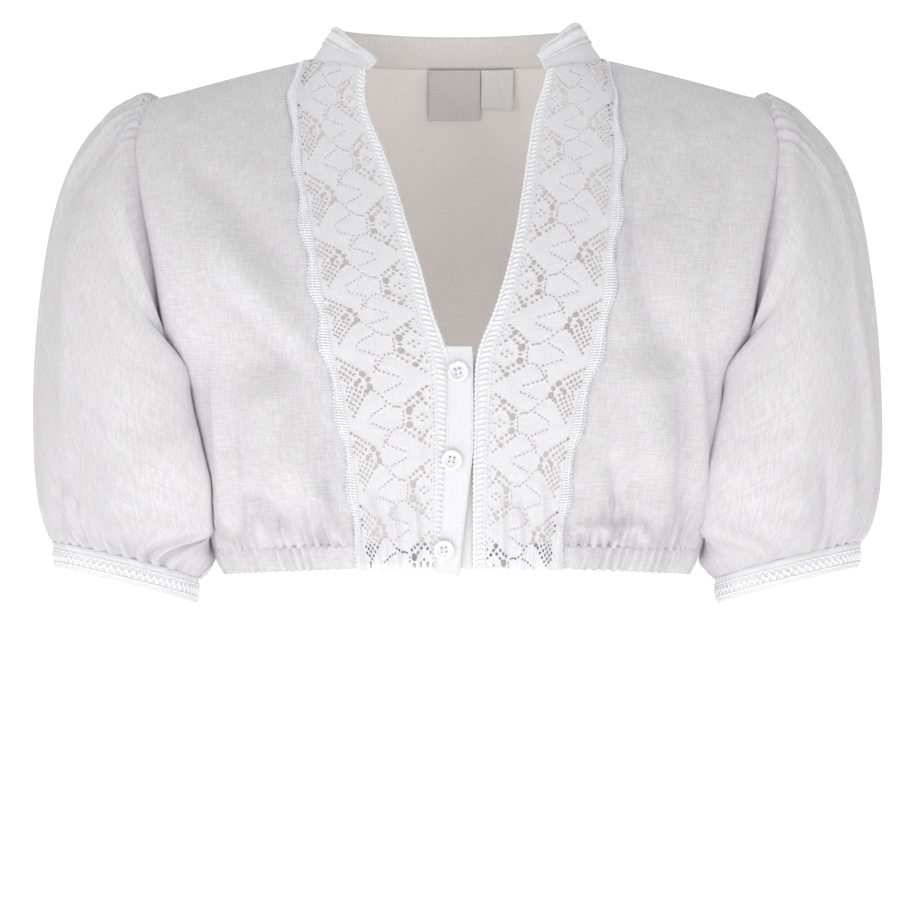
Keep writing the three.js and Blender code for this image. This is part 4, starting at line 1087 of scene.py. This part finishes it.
lace_folds = {
    "left": placed(Fold, [
        (-52, -268, -47, -318, 2.6, 3.0, 1), (-38, -276, -35, -318, 2.4, 2.4),
        (-27, -262, -24, -318, 2.0, 2.6, 1), (-60, -282, -56, -318, 1.6, 2.0),
        (-16, -284, -17, -318, 0.8, 2.0), (-44, -285, -41, -318, 1.2, 1.6),
        (-20, -205, -24, -268, 0.6, 5.0), (-70, -150, -58, -235, 0.6, 8.0, 3),
    ]),
    "right": placed(Fold, [
        (50, -262, 53, -318, 2.4, 3.2, -1), (36, -274, 38, -318, 2.2, 2.6), (26, -266, 27, -318, 2.0, 2.4),
        (61, -280, 60, -318, 1.6, 2.2), (44, -288, 45, -318, 1.2, 1.8), (19, -288, 20, -318, 0.8, 1.8),
        (72, -150, 62, -240, 0.6, 8.0, -3), (30, -190, 26, -250, 0.5, 5.0),
    ]),
}


def scallops(phase):
    """Distance across of the band's scalloped outer edge. A phase of 2 pi is one repeat."""
    return PATTERN_WIDTH - 0.9 + 2.1 * (np.cos(phase) - 0.35) * 1.15


def trail_share(across, along):
    """1 on the trail and petals of whole cloth, 0 in the nets."""
    centre = np.interp(in_repeat(along), *np.transpose(TRAIL_TURNS))
    return np.exp(-(((across - centre) / 9) ** 4))


def lace_band(side):
    band = LaceBand(side)
    holes = hole_field(band.across, band.along)
    phase = band.along / PATTERN_REPEAT * 2 * math.pi
    edge = scallops(phase) + 0.55 * (np.abs(np.sin(phase * 8)) - 0.5)
    field = np.minimum(holes, edge - band.across)
    whole = trail_share(band.across, band.along)
    fan = ramp(band.across, BORDER_START - 1.5, BORDER_START + 1)
    rope = 0.35 * np.cos(2 * math.pi * (edge - band.across) / 2.3) * fan
    rim = 0.28 * np.exp(-((np.clip(holes, 0, 3) / 0.55) ** 2))
    inner_border = 0.35 * ramp(7.5 - band.across, 0, 1.5)
    relief = 0.22 * whole * ramp(holes, 0.3, 1.2) + rope + rim * (1 - whole) + inner_border
    points = band.base + band.normal * relief[..., None]
    wall, faces, kept, sources = cut_sheet(points, band.normal, field, LACE_WALL)
    uv = np.tile(carry(np.stack([band.across, band.along], -1), kept, sources), (2, 1))
    piece = face_out(build_mesh(f"lace_band_{side}", wall, faces, lace_look, uv))
    return band, declare(piece, [f"lace_{side}"])


band_left, lace_left = lace_band("left")
band_right, lace_right = lace_band("right")


def on_band(band, across):
    """A line on a lace band at a distance across, read at every row, and its normals."""
    last = band.u.shape[1] - 1
    column = np.interp(across, np.linspace(0, PATTERN_WIDTH * band.u.max(), last + 1), np.arange(last + 1))
    low = int(math.floor(column))
    high, t = min(low + 1, last), column - low
    return lerp(band.base[:, low], band.base[:, high], t), lerp(band.normal[:, low], band.normal[:, high], t)


def bars(start, end, normal, pitch, lean, radius, lift):
    """Short raised threads side by side between two lines on a lace band."""
    length = running_length(start)
    parts = []
    for at in np.arange(1, length[-1] - 2, pitch):
        low, high = sample(start, length, at), sample(end, length, at + lean)
        up = sample(normal, length, at)
        share = np.linspace(0, 1, 5)[:, None]
        path = lerp(low, high, share) + up * (lift * (0.35 + 0.65 * np.sin(math.pi * share)))
        parts.append(tube(path, np.broadcast_to(up, path.shape), radius, 6))
    return parts


EDGE_PITCH, PICOT_PITCH, CORD_STEP = 2.9, 2.7, 0.6


def edge_braid(band):
    """Knobbly cord along the inner edge of a lace band, and a row of short slanted threads beside it."""
    path, normal = on_band(band, 0.5)
    at, path, normal = resample(path, normal, 0.42)
    angle = (2 * math.pi * at / EDGE_PITCH)[:, None]
    swing, swell = 0.42 * np.sin(angle), 0.45 + 0.3 * np.cos(angle)
    parts = [tube(path + sideways(path, normal) * swing + normal * swell, normal, 0.78, 6)]
    start, up = on_band(band, 1.7)
    end, _ = on_band(band, 5.2)
    parts += bars(start, end, up, 3.3, 1.7, 0.78, 1.0)
    path, normal = on_band(band, 6.3)
    at, path, normal = resample(path, normal, CORD_STEP)
    parts.append(tube(path + normal * 0.35, normal, 0.5, 5))
    return cord_piece(f"lace_edge_{band.side}", parts, braid_look, "lace")


def picot_edge(band):
    """Fine cord that runs in small loops along the scalloped outer edge."""
    phase = band.along[:, 0] / PATTERN_REPEAT * 2 * math.pi
    last = band.u.shape[1] - 1
    columns = np.clip(scallops(phase) / PATTERN_WIDTH / band.u.max() * last, 0, last - 0.001)
    low = np.floor(columns).astype(int)
    index = np.arange(len(low))
    rim = lerp(band.base[index, low], band.base[index, low + 1], (columns - low)[:, None])
    at, path, normal = resample(rim, band.normal[index, low], 0.4)
    side = sideways(path, normal)
    outwards = band.sign * np.sign(side[len(side) // 2, 0])
    swing = (0.9 * np.sin(2 * math.pi * at / PICOT_PITCH) + 0.1)[:, None]
    loop = 0.55 * np.sin(4 * math.pi * at / PICOT_PITCH)[:, None]
    parts = [tube(path + outwards * side * swing + heading(path) * loop + normal * 0.15, normal, 0.42, 5)]
    inner, up = on_band(band, BORDER_START + 0.9)
    parts += bars(inner, rim, up, 1.7, 0.5, 0.5, 0.85)
    at, path, normal = resample(lerp(inner, rim, 0.62), up, CORD_STEP)
    parts.append(tube(path + normal, normal, 0.42, 5))
    return cord_piece(f"lace_picots_{band.side}", parts, braid_look, "lace")


lace_trims = {band.side: [edge_braid(band), picot_edge(band)] for band in (band_left, band_right)}

# Button strip
placket_table = Table("height left right under_left under_right", [
    (-318, -14, 0.5, -3, 13), (-304, -12, 2.2, -3, 12.8), (-290, -10, 4, -3, 12.8), (-256, -8, 8, -3, 13),
    (-240, -7, 9.6, -2, 13.4), (-196, -5.8, 9.4, -2, 13.6), (-180, -7.6, 8.7, -2, 14),
])
PLACKET_OFFSET = 3.6
PLACKET_TOP = -181.5
UNDER_TOP = -184.5


def places_by_reach(surface, levels, reach, grid):
    """Places on a surface, row by row, where the distance from the centre line is reach."""
    ends = surface(grid[None, :] + 0 * levels, levels)[..., 0]
    return np.stack([np.sign(row) * np.interp(np.abs(row), end, grid) for row, end in zip(reach, ends)])


def strip_points(left, right, top, offset, drop, columns, rows):
    levels = np.linspace(0, 1, rows)[:, None] * level_at(top)
    height = front(np.zeros_like(levels), levels)[..., 2]
    u = np.linspace(0, 1, columns)[None, :]
    reach = lerp(*(placket_table.read("height", height, edge) for edge in (left, right)), u)
    points = front(places_by_reach(front, levels, reach, np.linspace(0, 0.2, 60)), levels)
    normal = outward(points)
    fold = 0.25 * value_noise(points[..., 0] / 7, points[..., 2] / 16, 17)
    edges = -0.35 * (1 - ramp(np.minimum(u, 1 - u), 0, 0.1))
    points = points + normal * (offset + fold + edges)[..., None]
    points[..., 2] -= drop * (1 - ramp(levels, 0, 0.02)) * (0.4 + 0.6 * u)
    return points, normal


STITCH_LENGTH, STITCH_GAP, STITCH_RADIUS, STITCH_STEP = 1.9, 0.75, 0.16, 0.3


def running_stitch(path, normal, lift):
    """Separate stitches along a seam line."""
    at, path, normal = resample(path, normal, STITCH_STEP)
    parts = []
    start = 0.0
    while start + STITCH_LENGTH < at[-1]:
        part = slice(int(start / STITCH_STEP), int((start + STITCH_LENGTH) / STITCH_STEP) + 1)
        arch = np.sin(np.linspace(0, math.pi, len(path[part])))[:, None] * 0.12
        parts.append(tube(path[part] + normal[part] * (lift + arch - 0.06), normal[part], STITCH_RADIUS, 4))
        start += STITCH_LENGTH + STITCH_GAP
    return parts


def stitch_lines(name, points, normal, lift, *lines):
    """Stitches along rows or columns of a grid."""
    parts = [part for line in lines for part in running_stitch(points[line], normal[line], lift)]
    return cord_piece(name, parts, strip_look, "linen")


def strip(name, node, thickness, *form):
    points, normal = strip_points(*form)
    piece = shell(name, points, strip_look, thickness, normal)
    return declare(piece, [node]), points, normal


placket, placket_points, placket_normal = strip(
    "placket_strip", "placket", STRIP_WALL, "left", "right", PLACKET_TOP, PLACKET_OFFSET, 4, 26, 150)
under_placket, _, _ = strip(
    "under_placket_strip", "under_placket", 1.0, "under_left", "under_right", UNDER_TOP, 0.0, 1.5, 20, 110)
placket_stitches = stitch_lines(
    "placket_stitches", placket_points, placket_normal, 0.58, np.s_[:, 2], np.s_[:, -3])

# Buttons with four holes and a raised rim
BUTTON_HALF = 1.3
# Outer face of the strip, with the small gap below a button
BUTTON_SEAT = PLACKET_OFFSET + 0.7 + 0.3
button_spots = [
    ("button_1", 0.4, -196, 0.25), ("button_2", -3.2, -247.7, -0.2), ("button_3", -7.9, -300.5, 0.1),
]
button_profile = [
    (0.0, 0.32), (2.9, 0.30), (3.5, 0.42), (4.0, 0.78), (4.45, 1.08), (5.0, 1.26), (5.5, 1.2), (5.95, 0.85),
    (6.18, 0.35), (6.2, 0.0), (6.0, -0.5), (5.2, -1.1), (4.4, -1.3), (0.0, -1.3),
]
BUTTON_SIDES = 56
HOLE_RADIUS = 0.72
HOLE_SPACING = 1.32


def button_piece(name, x, height, turn):
    level = level_at(height)
    s = float(place_at(np.array([level]), lambda z: abs(x) + 0 * z)[0]) * (1 if x > 0 else -1)
    step = np.array([[-0.004, 0, 0.004]])
    patch = front(s + step, level + step.T)
    normal = outward(patch)[1, 1]
    centre = patch[1, 1] + normal * (BUTTON_SEAT + BUTTON_HALF)
    right = unit(np.cross([0, 0, 1], -normal))
    right = -right if right[0] < 0 else right
    up = np.cross(normal, right)
    up = -up if up[2] < 0 else up
    c, s2 = math.cos(turn), math.sin(turn)
    right, up = right * c + up * s2, up * c - right * s2

    def place(a, b, out):
        return centre + a * right + b * up + out * normal

    sides = BUTTON_SIDES
    profile = np.array(button_profile)
    rings = [lerp(a, b, t) for a, b in zip(profile, profile[1:]) for t in (0, 0.5)][1:]
    points, faces = [place(0, 0, profile[0][1])], []
    for radius, out in rings:
        for i in range(sides):
            angle = i / sides * 2 * math.pi
            points.append(place(radius * math.cos(angle), radius * math.sin(angle), out))
    points.append(place(0, 0, profile[-1][1]))
    for i in range(sides):
        k = (i + 1) % sides
        faces.append([0, 1 + i, 1 + k])
        for a in range(1, 1 + (len(rings) - 1) * sides, sides):
            faces.append([a + i, a + sides + i, a + sides + k, a + k])
        a = 1 + (len(rings) - 1) * sides
        faces.append([a + k, a + i, len(points) - 1])
    body = face_out(build_mesh(name + "_blank", points, faces, pearl_look))
    cutters = []
    for a, b in ((1, 1), (1, -1), (-1, -1), (-1, 1)):
        ends = [place(a * HOLE_SPACING, b * HOLE_SPACING, out) for out in (3, 0, -3)]
        cutters.append(tube(np.array(ends), np.array([up] * 3), HOLE_RADIUS, 18))
    cutter = face_out(build_mesh(name + "_cutter", *join_parts(cutters), pearl_look))
    cut = body.modifiers.new("holes", "BOOLEAN")
    cut.operation, cut.object, cut.solver = "DIFFERENCE", cutter, "EXACT"
    view_layer = bpy.context.evaluated_depsgraph_get()
    mesh = bpy.data.meshes.new_from_object(body.evaluated_get(view_layer))
    piece = bpy.data.objects.new(f"{name}_pearl", mesh)
    bpy.context.collection.objects.link(piece)
    for spare in (body, cutter):
        bpy.data.objects.remove(spare)
    mesh.shade_smooth()
    mesh.set_sharp_from_angle(angle=math.radians(38))
    threads = []
    for a in (-HOLE_SPACING, HOLE_SPACING):
        for b in (-0.28, 0.0, 0.28):
            arch = [place(a + b, HOLE_SPACING * k, 0.36 + 0.28 * (1 - k * k)) for k in np.linspace(-1, 1, 9)]
            path = [place(a + b, -HOLE_SPACING, -0.9), *arch, place(a + b, HOLE_SPACING, -0.9)]
            threads.append(tube(np.array(path), np.array([normal] * len(path)), 0.17, 5))
    shank = tube(np.array([place(0, 0, -BUTTON_HALF + 0.05), place(0, 0, -BUTTON_HALF - 0.9)]),
                 np.array([up, up]), 1.7, 10)
    declare(piece, [name])
    cord_piece(f"{name}_thread", threads + [shank], strip_look, "linen")


for spot in button_spots:
    button_piece(*spot)

# Stand collar
collar_table = Table("turn height half", [
    (37, -4.4, 80), (43, 0.4, 79), (50, 5.2, 78), (65, 15, 77), (80, 18.8, 76), (180, 18.5, 76),
])
COLLAR_END_TURN = 37
RIGHT_END_RISE = 5


def collar(u, v):
    """u from the left front end round the back to the right front end, v from the seam up."""
    u, v = np.broadcast_arrays(np.asarray(u, float), np.asarray(v, float))
    from_back = lerp(-1, 1, u) * (180 - COLLAR_END_TURN)
    turn = 180 - np.abs(from_back)
    base = neck_seam(turn)
    share = collar_table.read("turn", turn, "half") / NECK_HALF_WIDTH
    top = stack(base[..., 0] * share, NECK_MIDDLE + (base[..., 1] - NECK_MIDDLE) * 0.9,
                collar_table.read("turn", turn, "height"))
    base[..., 2] += 0.2
    top[..., 2] += np.where(from_back > 0, RIGHT_END_RISE * ramp(104 - turn, 0, 52), 0)
    corner = 0.3 * (1 - ramp(turn - COLLAR_END_TURN, 0, 3.2)) * np.clip(v, 0, 1) ** 3
    point = lerp(base, top, (v - corner)[..., None])
    point[..., 2] = np.maximum(point[..., 2], base[..., 2] - 1.6)
    point[..., 0] *= np.where(from_back < 0, -1, 1)
    return point


def collar_grid(columns, v):
    u = np.linspace(0, 1, columns)[None, :]
    points = collar(u, np.asarray(v)[:, None])
    normal = grid_normals(points)
    away = points - np.array([0, NECK_MIDDLE, 0])
    sign = np.sign((normal * away * np.array([1, 1, 0])).sum(-1).mean())
    return points, normal * sign


def ripple(rows, columns, pitch, seed, size=64):
    """Slight unevenness of a narrow band."""
    place = np.arange(columns)[None, :] / pitch + np.zeros((rows, 1))
    return 0.3 * value_noise(place, np.linspace(0, 2, rows)[:, None], seed, size)[..., None]


stand_points, stand_normal = collar_grid(230, np.linspace(-0.09, 1, 10))
stand_shape = stand_points + stand_normal * ripple(10, 230, 9, 23)
# The collar band's inner faces take the darker inside material: painted shade.
collar_stand = lined("collar_band", "collar_stand", stand_shape, strip_look, STRIP_WALL, collar_inside_painted_shade_look,
                     normal=stand_normal, uv=cloth_uv(stand_points))


def braid_rows(points, normal, waves):
    """Looped braid: strands that swing across its width while they run along it.

    Each wave is (share of the width, swing, pitch, radius, lift, phase)."""
    parts = []
    for share, swing, pitch, radius, lift, phase in waves:
        row = share * (len(points) - 1)
        low = min(int(row), len(points) - 2)
        path = lerp(points[low], points[low + 1], row - low)
        up = lerp(normal[low], normal[low + 1], row - low)
        at, path, up = resample(path, up, 0.42)
        angle = 2 * math.pi * (at / pitch + phase)[:, None]
        moved = (path + sideways(path, up) * (swing * np.sin(angle)) + up * (lift + 0.18 * np.cos(angle))
                 + heading(path) * (0.22 * pitch * np.sin(2 * angle)))
        parts.append(tube(moved, up, radius))
    return parts


trim_points, trim_normal = collar_grid(260, np.linspace(0.48, 0.97, 7))
collar_waves = [
    (0.5, 2.6, 3.4, 0.5, 0.8, 0.0), (0.5, 2.6, 3.4, 0.5, 0.65, 0.5),
    (0.06, 0.5, 2.0, 0.55, 1.0, 0.3), (0.93, 0.5, 2.0, 0.55, 0.95, 0.1),
]
cord_piece(
    "collar_braid", braid_rows(trim_points, trim_normal, collar_waves), braid_look, "braid", "collar_trim")

# Cuffs
CUFF_HEIGHT = 15
CUFF_INWARD = 1.2
CUFF_MIDDLE_X = (249.7 + 160.5) / 2


def cuff_points(columns, down):
    turn = np.linspace(0, 360, columns, endpoint=False)[None, :]
    down = np.asarray(down)[:, None]
    top = sleeve_ring(turn, np.ones_like(turn) + 0 * down)
    inward = unit(stack(CUFF_MIDDLE_X - top[..., 0], -top[..., 1], 0 * top[..., 2]))
    points = top + inward * (CUFF_INWARD * down)[..., None]
    points[..., 2] -= CUFF_HEIGHT * (down * 1.06)
    return points, -inward


cuff_waves = [
    (0.5, 2.3, 4.5, 0.8, 0.75, 0.0), (0.02, 0.35, 4.6, 0.5, 0.7, 0.2), (0.98, 0.35, 4.6, 0.5, 0.7, 0.5),
]


def cuff(side):
    mirror = np.array([SIGN[side], 1, 1])
    points, normal = cuff_points(150, np.linspace(0, 1, 10))
    points = (points + normal * ripple(10, 150, 150 / 32, 27, 32)) * mirror
    band = lined(f"cuff_band_{side}", f"cuff_{side}", points, strip_look, STRIP_WALL,
                 normal=normal * mirror, closed=True)
    braid = cuff_points(301, np.linspace(0.3, 0.8, 7))
    braid = [np.concatenate([grid, grid[:, :1]], axis=1) * mirror for grid in braid]
    cord_piece(f"cuff_braid_{side}", braid_rows(*braid, cuff_waves), braid_look, "braid", f"cuff_trim_{side}")
    points, normal = cuff_points(200, [0.12])
    return band, stitch_lines(f"cuff_stitches_{side}", points * mirror, normal * mirror, 0.6, 0)


cuff_left, cuff_stitches_left = cuff("left")
cuff_right, cuff_stitches_right = cuff("right")

# Labels inside the back of the neck, both bare
LABEL_OFFSET = 2.9


def label(node, left, right, top, bottom, curl, look):
    rows, columns = 34, 40
    x = np.linspace(left, right, columns)[None, :]
    z = np.linspace(top, bottom, rows)[:, None]
    levels = np.linspace(0.7, 1, 160)
    centre = back(np.zeros(160), levels)
    level = np.interp(z[:, 0], centre[:, 2], levels)[:, None]
    reach = np.broadcast_to(x, (rows, columns))
    points = back(places_by_reach(back, level, reach, np.linspace(0, 0.4, 80)), level)
    normal = outward(points)
    u, v = (x - left) / (right - left), (z - top) / (bottom - top)
    lift = 0.35 * ramp(v, 0.05, 0.5) + 0.3 * np.sin(math.pi * u) * v + curl * ramp(u + v, 1.55, 2.0) ** 1.5
    points = points - normal * (LABEL_OFFSET + lift - 0.35)[..., None]
    uv = np.stack(np.broadcast_arrays(x, z), -1)
    piece = shell(node + "_cloth", points, look, 0.6, normal, uv=uv)
    return declare(piece, [node]), points, normal


label_main, main_points, main_normal = label("label_main", -18.3, 15.2, -0.4, -30.4, 0, label_look)
label_care, _, _ = label("label_care", 15.8, 36.4, -0.4, -22.9, 4, care_look)
label_stitches = stitch_lines("label_stitches", main_points, -main_normal, 0.35, 1, np.s_[:, 1], np.s_[:, -2])

# Floor, backdrop and light
backdrop_material, _, _, backdrop_shader = new_material("backdrop")
set_inputs(backdrop_shader, {
    "Base Color": (0.92, 0.92, 0.92, 1), "Roughness": 1.0, "Specular IOR Level": 0.0,
    "Emission Color": (1, 1, 1, 1), "Emission Strength": 0.72,
})
FLOOR, FLOOR_REACH = -480, 6000
corners = [(x * FLOOR_REACH, y * FLOOR_REACH, FLOOR) for x, y in ((-1, -1), (1, -1), (1, 1), (-1, 1))]
build_mesh("floor", corners, [[0, 1, 2, 3]], backdrop_material)

world = bpy.data.worlds.new("studio")
world.use_nodes = True
background = world.node_tree.nodes["Background"]
set_inputs(background, {"Color": (1.0, 1.0, 1.0, 1)})
direction = world.node_tree.nodes.new("ShaderNodeTexCoord")
parts = world.node_tree.nodes.new("ShaderNodeSeparateXYZ")
brightness = world.node_tree.nodes.new("ShaderNodeMapRange")
world.node_tree.links.new(direction.outputs["Generated"], parts.inputs[0])
world.node_tree.links.new(parts.outputs["Y"], brightness.inputs["Value"])
set_inputs(brightness, {"From Min": 0.84, "From Max": 0.96, "To Min": 0.46, "To Max": 1.05})
world.node_tree.links.new(brightness.outputs[0], background.inputs["Strength"])
bpy.context.scene.world = world
bpy.context.scene.view_settings.view_transform = "Standard"


def soft_light(name, place, aim, size, watts):
    data = bpy.data.lights.new(name, "AREA")
    data.shape = "RECTANGLE"
    data.size, data.size_y = size
    data.energy = watts
    light = bpy.data.objects.new(name, data)
    light.location = place
    direction = np.array(aim, float) - np.array(place, float)
    light.rotation_euler = Vector(direction).to_track_quat("-Z", "Y").to_euler()
    bpy.context.collection.objects.link(light)


soft_light("key", (-1.6, -2.1, 0.45), (0, 0, -0.15), (0.9, 0.9), 12.5)
soft_light("fill", (1.1, -2.5, 0.05), (0, 0, -0.15), (1.2, 1.2), 8.5)
soft_light("top", (0.0, 0.1, 2.0), (0, 0, -0.1), (1.6, 1.2), 12)
